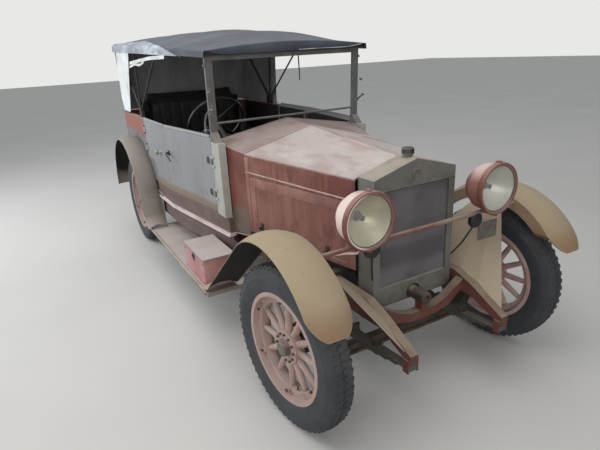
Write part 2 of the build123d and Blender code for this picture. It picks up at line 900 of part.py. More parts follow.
def bonnet_rows():
    """The bonnet's two ends, each (place, half width, shoulder height, ridge height)."""
    return (
        (bonnet_front, bonnet_front_half, bonnet_front_shoulder, bonnet_front_ridge),
        (bonnet_rear, bonnet_rear_half, bonnet_rear_shoulder, bonnet_rear_ridge),
    )


def ridge_line(front_place, rear_place):
    """Two points of the ridge hinge's axis, half a sheet under the bonnet's ridge."""
    slope = (bonnet_rear_ridge - bonnet_front_ridge) / (bonnet_rear - bonnet_front)
    middle = bonnet_front_ridge - bonnet_sheet / 2
    return [(0, aft(place), middle + slope * (place - bonnet_front))
            for place in (front_place, rear_place)]


def shoulder_line():
    """The two ends of the left shoulder hinge's axis, inside the corner of the bonnet."""
    return [(half - bonnet_rod_radius, aft(place), shoulder - bonnet_rod_radius)
            for place, half, shoulder, _ in bonnet_rows()]


def bonnet_top(side):
    """One sloping half of the bonnet's top, hinged on the ridge rod, with a beaded outer edge."""
    sections = []
    for place, half, shoulder, ridge in bonnet_rows():
        sections.append((place, [
            (0, ridge), (half, shoulder), (half, shoulder - bonnet_sheet), (0, ridge - bonnet_sheet),
        ]))
    rod = bar(*ridge_line(bonnet_front - 20, bonnet_rear + 20), bonnet_rod_radius + seat_gap)
    top = front_loft(sections) + bar(*shoulder_line(), bonnet_rod_radius) - rod
    return top if side > 0 else mirrored(top)


def bonnet_side(side):
    """One upright side of the bonnet, hinged on the bead of the top."""
    sections = []
    for place, half, shoulder, _ in bonnet_rows():
        top = shoulder - bonnet_rod_radius
        sections.append((place, [
            (half, top), (half, bonnet_hem), (half - bonnet_sheet, bonnet_hem),
            (half - bonnet_sheet, top),
        ]))
    start, end = [Vector(*point) for point in shoulder_line()]
    past = (end - start).normalized() * 20
    sheet = front_loft(sections) - bar(start - past, end + past, bonnet_rod_radius + seat_gap)
    return sheet if side > 0 else mirrored(sheet)


def scuttle_sections(inset, drop):
    front = bonnet_rear + panel_gap
    return [
        (front - (1 if inset else 0), gable(
            bonnet_rear_half - inset, scuttle_hem - drop,
            bonnet_rear_shoulder - inset * 0.7, bonnet_rear_ridge - inset)),
        (scuttle_rear + (1 if inset else 0), gable(
            scuttle_rear_half - inset, scuttle_hem - drop,
            scuttle_rear_shoulder - inset * 0.7, scuttle_rear_ridge - inset)),
    ]


def scuttle():
    """The fixed shell between bonnet and windscreen, with the bulkhead and the dash."""
    inner = front_loft(scuttle_sections(scuttle_wall, 5))
    shell = front_loft(scuttle_sections(0, 0)) - inner
    bulkhead_face = bonnet_rear + panel_gap + 6
    bulkhead = slab(-700, 700, aft(bulkhead_face), aft(bulkhead_face + bulkhead_thickness),
                    scuttle_hem, 1400)
    dash = slab(-700, 700, aft(dash_face), aft(dash_face + dash_thickness), dash_hem, 1400)
    fitted = front_loft(scuttle_sections(scuttle_wall - 2, -1))
    shell = fused(shell, bulkhead & fitted, dash & fitted)
    for side in (-1, 1):
        shell = shell - slab(side * (post_x + post_width / 2 - pillar_depth - seat_gap), side * 700,
                             aft(pillar_front - seat_gap), aft(scuttle_rear + 10),
                             scuttle_hem - 10, 1400)
        shell = shell - slab(side * 420, side * 700, aft(pillar_front - seat_gap),
                             aft(scuttle_rear + 10), scuttle_hem - 10, sill_top)
    rod_ends = ridge_line(radiator_rear + 2 * seat_gap, bonnet_rear + panel_gap + 6)
    rod = bar(*rod_ends, bonnet_rod_radius)
    foot, head = column_line()
    return shell + rod - bar(foot, head, column_radius + 4)


def front_pillars():
    """The two posts that carry the front door hinges and the windscreen."""
    outer = post_x + post_width / 2
    pillar = slab(outer - pillar_depth, outer, aft(pillar_front), aft(pillar_rear - panel_gap),
                  sill_top, pillar_top)
    return both_sides(pillar + hinge_pins(front_hinge(), -1, front_hinge_heights))


# Body

def side_half(place):
    """The body's half width at a place along the doors."""
    front_half = post_x + post_width / 2
    if place <= door_seam:
        share = (place - pillar_rear) / (door_seam - pillar_rear)
        return front_half + share * (body_half_seam - front_half)
    share = min(1, (place - door_seam) / (rear_hinge_line - door_seam))
    return body_half_seam + share * (body_half_rear - body_half_seam)


def side_strip(place0, place1, outer_inset, thickness, z0, z1):
    """A strip of the left body side between two places."""
    places = [place0] + [p for p in (door_seam,) if place0 < p < place1] + [place1]
    outline = [(side_half(p) - outer_inset, p) for p in places]
    outline += [(side_half(p) - outer_inset - thickness, p) for p in reversed(places)]
    return plan_prism(outline, z0, z1)


def across_side():
    """The two x values of a cut that goes right through the left body side."""
    return body_half_rear / 2, body_half_rear * 3 / 2


def rounded_top(door):
    """Softens the two long top edges of a door."""
    top = door.faces().sort_by(Axis.Z)[-1]
    long_edges = top.edges().sort_by(SortBy.LENGTH)[-2:]
    return fillet(long_edges, door_edge_radius)


def front_hinge():
    """The x and place of the left front door's hinge axis."""
    return side_half(pillar_rear) + hinge_offset, pillar_rear - panel_gap / 2


def rear_hinge():
    """The x and place of the left rear door's hinge axis."""
    return side_half(rear_hinge_line) + hinge_offset, rear_hinge_line + panel_gap / 4


def hinge_leaf(axis, direction, z0, z1):
    """A leaf from a hinge's axis along the panel; direction is +1 towards the rear."""
    x, place = axis
    return slab(x - hinge_offset - 1, x, aft(place), aft(place + direction * hinge_leaf_length),
                z0, z1)


def door_eyes(axis, direction, heights):
    """The eyes of one door's hinges, with their leaves."""
    x, place = axis
    pieces = []
    for middle in heights:
        z0, z1 = middle - hinge_eye_height / 2, middle + hinge_eye_height / 2
        eye = upright_bar(hinge_eye_radius, x, place, z0, z1) + hinge_leaf(axis, direction, z0, z1)
        pieces.append(eye - upright_bar(hinge_pin_radius + seat_gap, x, place, z0 - 1, z1 + 1))
    return fused(*pieces)


def hinge_pins(axis, direction, heights):
    """The pins and knuckles that carry one door's hinges, with their leaves."""
    x, place = axis
    pieces = []
    for middle in heights:
        inner = hinge_eye_height / 2 + seat_gap
        outer = inner + hinge_knuckle_height
        pieces.append(upright_bar(hinge_pin_radius, x, place, middle - outer, middle + outer))
        for z0, z1 in ((middle - outer, middle - inner), (middle + inner, middle + outer)):
            pieces.append(upright_bar(hinge_eye_radius, x, place, z0, z1))
            pieces.append(hinge_leaf(axis, direction, z0, z1))
    return fused(*pieces)


def front_door(side):
    """A front door, hinged on the front pillar."""
    door = side_strip(pillar_rear, door_seam - panel_gap / 2, 0, door_thickness,
                      door_bottom, door_top)
    door = rounded_top(door) + door_eyes(front_hinge(), 1, front_hinge_heights)
    return door if side > 0 else mirrored(door)


def rear_door(side):
    """A rear door, hinged at its rear edge, stepped to clear the fender as it swings."""
    door = side_strip(door_seam + panel_gap / 2, rear_hinge_line, 0, door_thickness,
                      door_bottom, door_top)
    door = rounded_top(door)
    step = slab(*across_side(), aft(door_arch_start), aft(rear_hinge_line + 50),
                door_bottom - 20, door_arch_step)
    corner = step.edges().filter_by(Axis.X).sort_by(lambda e: e.center().Z - e.center().Y)[-1]
    door = door - fillet(corner, door_arch_radius)
    door = door + door_eyes(rear_hinge(), -1, rear_hinge_heights)
    return door if side > 0 else mirrored(door)


def body_tub():
    """The floor with sills, valances and centre pillars."""
    floor_top = floor_bottom + floor_thickness
    front = bonnet_rear + panel_gap
    half = [(bonnet_rear_half - scuttle_wall - 2, front + 30),
            (side_half(pillar_front) - sill_thickness, pillar_front),
            (side_half(door_seam) - sill_thickness, door_seam),
            (side_half(sill_rear) - sill_thickness, sill_rear),
            (wheelhouse_half_width - wheelhouse_wall - 20, sill_rear + 60),
            (wheelhouse_half_width - wheelhouse_wall - 20, floor_rear)]
    plan = half + [(-x, p) for x, p in reversed(half)]
    whole = plan_prism(plan, floor_bottom, floor_top)
    sill = side_strip(pillar_front, sill_rear, 2, sill_thickness, sill_bottom, sill_top - seat_gap)
    valance = side_strip(pillar_front, sill_rear, valance_inset, valance_thickness,
                         valance_bottom, sill_bottom + 1)
    pillar = slab(side_half(door_seam) - door_thickness - moving_gap - centre_pillar_depth,
                  side_half(door_seam) - door_thickness - moving_gap,
                  aft(door_seam - centre_pillar_width / 2), aft(door_seam + centre_pillar_width / 2),
                  floor_top - 1, door_top - 12)
    side = fused(sill, valance, pillar)
    for place0, place1 in ((pillar_front, door_seam), (door_seam, sill_rear)):
        side = side + bar((side_half(place0) - 4, aft(place0), sill_bottom),
                          (side_half(place1) - 4, aft(place1), sill_bottom), sill_bead_radius)
    return fused(whole, side, mirrored(side))


def rear_prism(inset, start, z0, z1):
    """The rear body's footprint as a solid block, with round rear corners."""
    half = body_half_rear - inset
    block = slab(-half, half, aft(start), aft(body_rear - inset), z0, z1)
    corners = block.edges().filter_by(Axis.Z).sort_by(Axis.Y)[-2:]
    return fillet(corners, body_corner_radius - inset)


def rear_body():
    """The rear quarters and back panel, with wheelhouses and the rear floor."""
    start = rear_hinge_line + panel_gap / 2
    shell = rear_prism(0, start, rear_body_bottom, door_top)
    shell = shell - rear_prism(wall_thickness, start - 1, rear_body_bottom - 1, door_top + 1)
    corner_start = door_arch_start + panel_gap
    step_top = door_arch_step - panel_gap
    lower = side_strip(corner_start - 4, start + 1, 0, wall_thickness, sill_top, step_top)
    cut = slab(*across_side(), aft(corner_start), aft(rear_hinge_line + 50), door_bottom - 40,
               step_top)
    corner = cut.edges().filter_by(Axis.X).sort_by(lambda e: e.center().Z - e.center().Y)[-1]
    lower = lower & fillet(corner, door_arch_radius - panel_gap)
    arch = cross_bar(wheel_arch_radius, wheelhouse_half_width, across_side()[1], wheelbase,
                     axle_height)
    quarter = (lower + mirrored(lower) + shell) - arch - mirrored(arch)
    house = cross_bar(wheel_arch_radius + wheelhouse_wall, wheelhouse_half_width - wheelhouse_wall,
                      body_half_rear - 3, wheelbase, axle_height) - arch
    house = house & slab(0, across_side()[1], aft(start - wheelhouse_lead), aft(body_rear - 3),
                         rear_body_bottom, door_top)
    floor_half = wheelhouse_half_width - 4
    rear_floor = slab(-floor_half, floor_half, aft(rear_hinge_line + 40), aft(body_rear - 10),
                      rear_floor_bottom, rear_floor_bottom + floor_thickness)
    rear_floor = rear_floor & rear_prism(5, start, 0, door_top)
    pins = hinge_pins(rear_hinge(), 1, rear_hinge_heights)
    return fused(quarter, house, mirrored(house), rear_floor, pins, mirrored(pins))


# Windscreen and hood

def windscreen_frame():
    """Two leaning posts on their feet, a top rail and a thin lower rail."""
    foot_place = pillar_rear - post_setback
    base = pillar_top + seat_gap
    half = post_depth / 2
    post = side_prism([
        (foot_place - half, base), (foot_place + half, base),
        (foot_place + half - post_lean, screen_top), (foot_place - half - post_lean, screen_top),
    ], post_x - post_width / 2, post_x + post_width / 2)
    foot = side_prism([
        (foot_place - post_foot_length, base), (foot_place + half, base),
        (foot_place + half, base + 5 * post_foot_height),
        (foot_place - half, base + 5 * post_foot_height),
    ], post_x - post_width / 2, post_x + post_width / 2)
    head_place = foot_place - post_lean
    rail = slab(-post_x, post_x, aft(head_place - half), aft(head_place + half),
                screen_top - screen_rail_height, screen_top)
    lean_share = (screen_lower_rail_height - base) / (screen_top - base)
    lower = cross_bar(screen_lower_rail_radius, -post_x, post_x,
                      foot_place - post_lean * lean_share, screen_lower_rail_height)
    side = post + foot
    return fused(side, mirrored(side), rail, lower)


def hood_section(half, edge, crown, hem, inset, drop):
    """A front outline of the hood: an arched top over two straight skirts."""
    x = half - inset
    top = edge - inset
    low = hem - drop
    return [(x, low), (x, top), (0, edge + crown - inset), (-x, top), (-x, low)]


def hood_solid(inset, drop, overrun):
    """The hood's outline as one block, set in from its outside and run past its ends."""
    wires = []
    ends = {hood_front: -overrun, hood_rear: overrun}
    for place, *sizes in hood_rows:
        y = aft(place + ends.get(place, 0))
        a, b, c, d, e = [(x, y, z) for x, z in hood_section(*sizes, inset, drop)]
        wires.append(Wire([Line(a, b).edge(), ThreePointArc(b, c, d).edge(), Line(d, e).edge(),
                           Line(e, a).edge()]))
    return Solid.make_loft(wires, ruled=True)


def hood_canvas():
    """The cloth top: arched roof, side skirts, rear curtain and quarter flaps."""
    outer = hood_solid(0, 0, 0)
    roof = outer - hood_solid(hood_thickness, 20, 5)
    low = door_top + seat_gap

    def curtain_block(inset):
        half = hood_rear_half - 1 - inset
        block = slab(-half, half, aft(flap_top - 60), aft(hood_rear - 1 - inset), low, 2000)
        corners = block.edges().filter_by(Axis.Z).sort_by(Axis.Y)[-2:]
        return fillet(corners, body_corner_radius - inset)

    curtain = curtain_block(0) - curtain_block(hood_thickness)
    hem = hood_row(flap_top)[3]
    curtain = curtain - side_prism([
        (flap_top - 100, low - 5), (flap_foot, low - 5), (flap_top, hem), (flap_top - 100, hem),
    ], -900, 900)
    curtain = curtain - slab(-900, 900, aft(flap_top - 100), aft(flap_top), low - 5, 2005)
    curtain = curtain & hood_solid(0.5, 600, 5)
    return fused(roof, curtain)


def hood_row(place):
    """The hood's half width, edge height, crown and hem height at a place."""
    ahead = [line for line in hood_rows[1:] if line[0] >= place]
    second = ahead[0] if ahead else hood_rows[-1]
    first = hood_rows[hood_rows.index(second) - 1]
    share = (place - first[0]) / (second[0] - first[0])
    return [a + share * (b - a) for a, b in zip(first[1:], second[1:])]


def bow_size(place):
    """A bow's half width, edge and top heights under the cloth, and the height of its feet."""
    half, edge, crown, hem = hood_row(place - bow_width / 2)
    rear_half, rear_edge, rear_crown, rear_hem = hood_row(place + bow_width / 2)
    half = min(half, rear_half) - hood_thickness - bow_clearance
    top = min(edge + crown, rear_edge + rear_crown)
    return half, min(edge, rear_edge), top, min(hem, rear_hem) - 10


def hood_bow(place):
    """One arched bow under the cloth, with its two ends turned down."""
    outer_half, edge, summit, foot = bow_size(place)
    y = aft(place - bow_width / 2)
    clear = hood_thickness + bow_clearance

    def block(inset, low):
        x = outer_half - inset
        top = edge - clear - inset
        a, b, c = (x, y, low), (x, y, top), (0, y, summit - clear - inset)
        d, e = (-x, y, top), (-x, y, low)
        face = make_face([Line(a, b), ThreePointArc(b, c, d), Line(d, e), Line(e, a)])
        return extrude(face, amount=bow_width, dir=(0, 1, 0))

    return block(0, foot) - block(bow_thickness, foot - 1)


def hood_bows():
    """The hood's wooden header and bows, as solids of one node."""
    half = hood_front_half - header_inset
    front = hood_front + header_place
    header = slab(-half, half, aft(front), aft(front + header_depth), screen_top + seat_gap,
                  hood_front_edge - header_drop)
    solids = header.solids()
    for place in bow_places:
        solids += hood_bow(place).solids()
    return Compound(children=solids)


def hood_iron():
    """The left side's irons, from the pivot plate up to the feet of the bows."""
    inset = hood_thickness + iron_clearance + iron_radius / 2
    x = hood_rear_half - inset - iron_radius / 2

    def bow_foot(place, lift):
        half, edge, crown, hem = hood_row(place)
        return half - inset, aft(place), hem + lift

    whole = slab(x - 16, x + 10, aft(pivot_place - pivot_plate_half),
                 aft(pivot_place + pivot_plate_half), door_top + seat_gap, pivot_height + 22)
    for place in bow_places[1:]:
        whole = whole + bar((x, aft(pivot_place), pivot_height), bow_foot(place, 0), iron_radius)
    first = bow_foot(bow_places[0], 4)
    head = (hood_front_half - 60, aft(hood_front + 60), screen_top + 10)
    whole = whole + bar(bow_foot(bow_places[1], 4), first, iron_radius) + bar(first, head, iron_radius)
    for place in bow_places:
        half, edge, summit, foot = bow_size(place)
        whole = whole - slab(half - bow_thickness - 1, half + bow_width,
                             aft(place - bow_width / 2 - seat_gap),
                             aft(place + bow_width / 2 + seat_gap), foot - seat_gap, edge)
    front = hood_front + header_place
    return whole - slab(0, hood_front_half, aft(front - seat_gap),
                        aft(front + header_depth + seat_gap), screen_top - 5, hood_front_edge + 10)


# Cabin

def cushion(x0, x1, place0, place1, z0, z1):
    block = slab(x0, x1, aft(place0), aft(place1), z0, z1)
    return fillet(block.edges().filter_by(Axis.X).sort_by(Axis.Z)[-2:], cushion_radius)


def front_seat():
    """The front bench: cushion and back as one soft solid."""
    half = side_half(front_cushion_front) - door_thickness - moving_gap
    floor_top = floor_bottom + floor_thickness + seat_gap
    base = cushion(-half, half, front_cushion_front, front_cushion_rear + 10, floor_top,
                   front_cushion_top)
    back = cushion(-half, half, front_cushion_rear, front_back_rear, floor_top, front_back_top)
    slot = slab(side_half(door_seam) - door_thickness - moving_gap - centre_pillar_depth - 4, 900,
                aft(door_seam - centre_pillar_width), aft(door_seam + centre_pillar_width), 0, 2000)
    return fused(base, back) - slot - mirrored(slot)


def rear_seat():
    """The rear bench, with a tall back that stands above the body."""
    inner = wheelhouse_half_width - wheelhouse_wall - 6
    half = min(rear_seat_half_width, inner)
    low = rear_floor_bottom + floor_thickness + seat_gap
    base = cushion(-half, half, rear_cushion_front, rear_cushion_rear + 30, low, rear_cushion_top)
    back_rear = body_rear - wall_thickness - 4
    back = slab(-half, half, aft(rear_back_front), aft(back_rear), low, rear_back_top)
    corners = back.edges().filter_by(Axis.Y).sort_by(Axis.Z)[-2:]
    back = fillet(corners, 110)
    return fused(base, back)


def column_line():
    """The two ends of the steering column's middle line."""
    foot = Vector(column_foot_x, aft(column_foot_place), column_foot_height)
    head = Vector(steering_wheel_x, aft(steering_wheel_place), steering_wheel_height)
    return foot, head


def steering_column():
    """The column, the steering box on its rail and the stay to the dash."""
    foot, head = column_line()
    run = head - foot
    top = head - run.normalized() * (steering_hub_low + seat_gap)
    tube = bar(foot, top, column_radius)
    box = slab(column_foot_x - steering_box_half_width, column_foot_x + steering_box_half_width,
               aft(column_foot_place - steering_box_length + 30), aft(column_foot_place + 30),
               rail_top + seat_gap, rail_top + steering_box_height)
    share = (dash_face + dash_thickness / 2 - column_foot_place) / (
        steering_wheel_place - column_foot_place)
    at_dash = foot + run * share
    stay = slab(at_dash.X - 12, at_dash.X + 12, aft(dash_face + 2), aft(dash_face + 14),
                at_dash.Z, dash_hem - seat_gap)
    return fused(tube, box, stay)


def steering_wheel():
    """A rim on four spokes, square to the column."""
    foot, head = column_line()
    place = Plane(origin=head, z_dir=head - foot)
    rim = Torus(steering_wheel_radius, steering_rim_radius)
    hub = Pos(0, 0, (steering_hub_high - steering_hub_low) / 2) * Cylinder(
        steering_hub_radius, steering_hub_low + steering_hub_high)
    whole = rim + hub
    spoke = Pos(steering_wheel_radius / 2, 0, -2) * Box(steering_wheel_radius, 24, 7)
    for index in range(4):
        whole = whole + Rot(0, 0, 45 + 90 * index) * spoke
    return place * whole


# Fenders, boards and toolbox

def fender_section(outer, inner, crown, skirt, place, z):
    """A fender's cross-section at the start of its sweep, in a plane across the car."""
    y = aft(place)
    middle = (outer + inner) / 2
    t = fender_sheet
    edges = [
        ThreePointArc((outer, y, z), (middle, y, z + crown), (inner, y, z)),
        Line((inner, y, z), (inner, y, z - skirt)),
        Line((inner, y, z - skirt), (inner + t, y, z - skirt)),
        Line((inner + t, y, z - skirt), (inner + t, y, z - t)),
        ThreePointArc((inner + t, y, z - t), (middle, y, z + crown - t), (outer - 1, y, z - t)),
        Line((outer - 1, y, z - t), (outer, y, z)),
    ]
    face = make_face(edges)
    bead_plane = Plane(origin=(outer - fender_bead_radius, y, z - 3), z_dir=(0, 1, 0))
    return face, (bead_plane * Circle(fender_bead_radius)).face()


def fender_run(outer, inner, crown, skirt, centre_place, centre_z, radius, front_deg, rear_deg,
               slope_run, sweep_radius, sweep_deg, front_is_board):
    """A fender from an arc over the wheel, a straight slope and a reverse sweep to the board.

    front_deg and rear_deg are the arc's reach each side of its top.
    The slope and sweep lie on the rear end, or on the front end if front_is_board.
    """
    axis = Axis((0, aft(centre_place), centre_z), (1, 0, 0))
    pieces = []
    for face in fender_section(outer, inner, crown, skirt, centre_place, centre_z + radius):
        board_deg = front_deg if front_is_board else rear_deg
        sign = 1 if front_is_board else -1
        # A positive turn about +X carries the top of the arc forwards.
        forward = revolve(face, axis, front_deg)
        rearward = revolve(face, axis, -rear_deg)
        end = face.rotate(axis, sign * board_deg)
        theta = math.radians(board_deg)
        direction = Vector(0, -sign * math.cos(theta), -math.sin(theta))
        slope = extrude(end, amount=slope_run, dir=direction)
        foot = end.translate(direction * slope_run)
        normal = Vector(0, -sign * math.sin(theta), math.cos(theta))
        edge_point = Vector(0, aft(centre_place), centre_z) + normal * radius + direction * slope_run
        pivot = edge_point + normal * sweep_radius
        sweep = revolve(foot, Axis(tuple(pivot), (1, 0, 0)), -sign * sweep_deg)
        pieces += [fused(forward, rearward, slope, sweep)]
    return fused(*pieces)


def front_fender():
    """The left front fender: crowned, with an inner skirt, a rounded tip and its apron."""
    board_z = board_top + fender_bead_radius + 3 + seat_gap
    slope = math.radians(fender_slope_deg)
    slope_top = fender_arc_height + fender_arc_radius * math.cos(slope)
    sweep_drop = fender_sweep_radius * (1 - math.cos(slope))
    slope_run = (slope_top - board_z - sweep_drop) / math.sin(slope)
    whole = fender_run(fender_outer, fender_inner, fender_crown, fender_skirt,
                       fender_arc_place, fender_arc_height, fender_arc_radius,
                       fender_tip_drop, fender_slope_deg, slope_run, fender_sweep_radius,
                       fender_slope_deg, False)
    half = (fender_outer - fender_inner) / 2
    middle = fender_inner + half
    tip_z = fender_arc_height + fender_arc_radius * math.cos(math.radians(fender_tip_drop))
    front = fender_reach_front
    block = slab(fender_inner - 20, fender_outer + 20, aft(front), aft(fender_tip_start),
                 0, tip_z + half)
    keep = bar((middle, aft(front - 1), tip_z + half),
               (middle, aft(fender_tip_start + 80), tip_z + half), half + 1)
    skirt_trim = side_prism([(front, 0), (fender_skirt_front, 0),
                             (fender_skirt_front, board_top + 200), (front, tip_z)],
                            0, fender_outer + 20)
    whole = whole - (block - keep) - skirt_trim
    low_skirt = slab(fender_inner - 5, fender_inner + fender_sheet + 1, aft(fender_skirt_rear),
                     aft(toolbox_rear), 0, slope_top)
    whole = whole - low_skirt
    return whole + front_apron()


def front_apron():
    """The sloping sheet between the chassis rail and the fender's inner skirt."""
    rail_face = rail_half_spacing_front + rail_width / 2 + seat_gap
    skirt_low = fender_arc_height + fender_arc_radius - fender_skirt
    drop = fender_sheet + 2
    outer = [(place, skirt_low + rise) for place, rise in apron_outer_row]
    wires = []
    for x, row in ((rail_face, apron_inner_row), (fender_inner + 1, outer)):
        loop = [(x, aft(p), z) for p, z in row]
        loop += [(x, aft(p), z - drop) for p, z in reversed(row)]
        wires.append(Wire.make_polygon(loop))
    return Solid.make_loft(wires, ruled=True)


def rear_fender():
    """The left rear fender, from its tail over the wheel down to the running board."""
    board_z = board_top + fender_bead_radius + 3 + seat_gap
    slope = math.radians(rear_fender_slope_deg)
    slope_top = rear_fender_arc_height + rear_fender_arc_radius * math.cos(slope)
    sweep_drop = rear_fender_sweep_radius * (1 - math.cos(slope))
    slope_run = (slope_top - board_z - sweep_drop) / math.sin(slope)
    return fender_run(rear_fender_outer, body_half_rear + seat_gap, fender_crown, fender_sheet + 4,
                      rear_fender_arc_place, rear_fender_arc_height, rear_fender_arc_radius,
                      rear_fender_slope_deg, rear_fender_tail_deg, slope_run,
                      rear_fender_sweep_radius, rear_fender_slope_deg, True)


def running_board():
    """The left running board with the brackets that carry it from the rail."""
    low = board_top - board_thickness
    board = slab(board_inner, board_outer, aft(board_front), aft(board_rear), low, board_top)
    for place in board_bracket_places:
        face = rail_x(place + board_bracket_width) + rail_width / 2 + seat_gap
        arm = slab(face, board_outer - 60, aft(place), aft(place + board_bracket_width),
                   low - 16, low + 1)
        strap = slab(face, face + 10, aft(place), aft(place + board_bracket_width), low - 16,
                     rail_top - 20)
        board = fused(board, arm, strap)
    return board


def toolbox():
    """The open box on the right running board."""
    z0 = board_top + seat_gap
    z1 = toolbox_top - toolbox_lid_thickness - seat_gap
    outer = slab(-toolbox_outer, -toolbox_inner, aft(toolbox_front), aft(toolbox_rear), z0, z1)
    wall = toolbox_wall
    inner = slab(-toolbox_outer + wall, -toolbox_inner - wall, aft(toolbox_front + wall),
                 aft(toolbox_rear - wall), z0 + wall, z1 + 1)
    return outer - inner


def toolbox_lid():
    """The flat lid, hinged along its inner edge."""
    return slab(-toolbox_outer - 4, -toolbox_inner, aft(toolbox_front - 4), aft(toolbox_rear + 4),
                toolbox_top - toolbox_lid_thickness, toolbox_top)


def fuel_tank():
    """The tank between the rails behind the rear axle."""
    reach = rail_half_spacing_rear - rail_width / 2 - seat_gap
    block = slab(-reach, reach, aft(tank_front), aft(tank_rear), tank_bottom, tank_top)
    return fillet(block.edges().filter_by(Axis.X), tank_corner_radius)


def front_springs():
    stack = (leaf_count - 0.5) * leaf_thickness
    front, rear = front_spring_eyes()
    middle = (0, axle_beam_top + seat_gap + stack)
    return both_sides(leaf_spring(front, rear, middle, rail_half_spacing_front))


def rear_springs():
    front, rear = rear_spring_eyes()
    middle = (wheelbase, axle_pad_bottom() - seat_gap - leaf_thickness / 2)
    return both_sides(leaf_spring(front, rear, middle, rear_spring_x()))


def build():
    os.makedirs("parts", exist_ok=True)
    save("frame_rails", frame_rails())
    save("front_crossmember", front_crossmember())
    save("crossmembers", crossmembers())
    save("rear_crossmember", rear_crossmember())
    save("front_axle_beam", front_axle_beam())
    save("rear_axle", rear_axle())
    save("front_springs", front_springs())
    save("rear_springs", rear_springs())
    save("engine_and_gearbox", engine_and_gearbox())
    save("radiator_shell", radiator_shell())
    save("radiator_core", radiator_core())
    save("headlamps", headlamps())
    save("headlamp_glasses", headlamp_glasses())
    save("lamp_bar", lamp_bar())
    save("scuttle", scuttle())
    save("front_pillars", front_pillars())
    save("body_tub", body_tub())
    save("rear_body", rear_body())
    save("windscreen_frame", windscreen_frame())
    save("hood_canvas", hood_canvas())
    save("hood_bows", hood_bows())
    save("hood_irons", both_sides(hood_iron()))
    save("front_seat", front_seat())
    save("rear_seat", rear_seat())
    save("steering_column", steering_column())
    save("steering_wheel", steering_wheel())
    save("front_fenders", both_sides(front_fender()))
    save("rear_fenders", both_sides(rear_fender()))
    save("running_boards", both_sides(running_board()))
    save("toolbox", toolbox())
    save("toolbox_lid", toolbox_lid())
    save("fuel_tank", fuel_tank())
    save("track_rod", track_rod())
    front_wheel = wheel(False)
    rear_wheel = wheel(True)
    rubber = tyre()
    for name, side in (("left", 1), ("right", -1)):
        save("knuckle_" + name, knuckle(side))
        save("front_wheel_" + name, steered(at_wheel(front_wheel, side, 0), side))
        save("front_tyre_" + name, steered(at_wheel(rubber, side, 0), side))
        save("rear_wheel_" + name, at_wheel(rear_wheel, side, wheelbase))
        save("rear_tyre_" + name, at_wheel(rubber, side, wheelbase))
        save("front_door_" + name, front_door(side))
        save("rear_door_" + name, rear_door(side))
        save("bonnet_top_" + name, bonnet_top(side))
        save("bonnet_side_" + name, bonnet_side(side))
    spare = Pos(0, aft(spare_place), spare_height) * Rot(0, 0, 90)
    save("spare_wheel", spare * front_wheel)
    save("spare_tyre", spare * rubber)


if __name__ == "__main__":
    build()
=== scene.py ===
"""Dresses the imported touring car: finishes, tyres, trim, cloth hood and seats, in metres.

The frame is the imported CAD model: +X is the car's left, the front faces -Y and +Z is up.
Places along the car are metres behind the front axle, and Layout.at() turns them into points.
"""
from __future__ import annotations

import json
import logging
import math
from collections.abc import Callable, Sequence
from dataclasses import dataclass, fields
from enum import Enum
from typing import ClassVar

import bmesh
import bpy
from mathutils import Matrix, Vector, noise

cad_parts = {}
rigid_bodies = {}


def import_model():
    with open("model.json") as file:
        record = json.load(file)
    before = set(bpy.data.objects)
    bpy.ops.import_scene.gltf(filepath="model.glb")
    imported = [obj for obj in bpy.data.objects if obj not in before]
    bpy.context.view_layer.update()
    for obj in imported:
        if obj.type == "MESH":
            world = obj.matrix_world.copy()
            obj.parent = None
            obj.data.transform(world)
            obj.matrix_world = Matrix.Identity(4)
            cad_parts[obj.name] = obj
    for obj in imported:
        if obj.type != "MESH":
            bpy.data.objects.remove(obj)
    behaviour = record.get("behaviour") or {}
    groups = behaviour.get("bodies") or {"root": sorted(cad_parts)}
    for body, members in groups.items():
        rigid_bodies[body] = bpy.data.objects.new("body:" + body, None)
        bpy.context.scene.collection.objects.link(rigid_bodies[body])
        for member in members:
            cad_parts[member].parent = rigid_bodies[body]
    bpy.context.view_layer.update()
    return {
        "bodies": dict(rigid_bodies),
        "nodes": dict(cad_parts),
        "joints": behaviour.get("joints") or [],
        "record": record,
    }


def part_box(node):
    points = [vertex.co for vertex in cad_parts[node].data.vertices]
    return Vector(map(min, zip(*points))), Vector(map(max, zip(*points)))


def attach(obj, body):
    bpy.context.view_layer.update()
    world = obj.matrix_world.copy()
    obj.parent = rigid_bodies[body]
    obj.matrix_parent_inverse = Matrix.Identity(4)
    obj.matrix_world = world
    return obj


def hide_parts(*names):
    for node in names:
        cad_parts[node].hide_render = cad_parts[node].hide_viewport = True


LOG = logging.getLogger("touring_car")
SIDES = ((1, "left"), (-1, "right"))
Piece = bpy.types.Object
Tree = bpy.types.NodeTree
Socket = bpy.types.NodeSocket
Sockets = dict[str, Socket]
Value = Socket | float | Sequence[float]
Shade = tuple[int, int, int]
Pair = tuple[float, float]
Point = tuple[float, float, float]


def shade(red: int, green: int, blue: int) -> tuple[float, float, float, float]:
    """A colour given as it shows on a screen, 0 to 255, as linear light."""
    def linear(value: int) -> float:
        """One channel as linear light."""
        part = value / 255
        return part / 12.92 if part <= 0.04045 else ((part + 0.055) / 1.055) ** 2.4
    return linear(red), linear(green), linear(blue), 1.0


def between(first: float, last: float, share: float) -> float:
    """The value at a share of the way from the first to the last."""
    return first + (last - first) * share


# Node trees


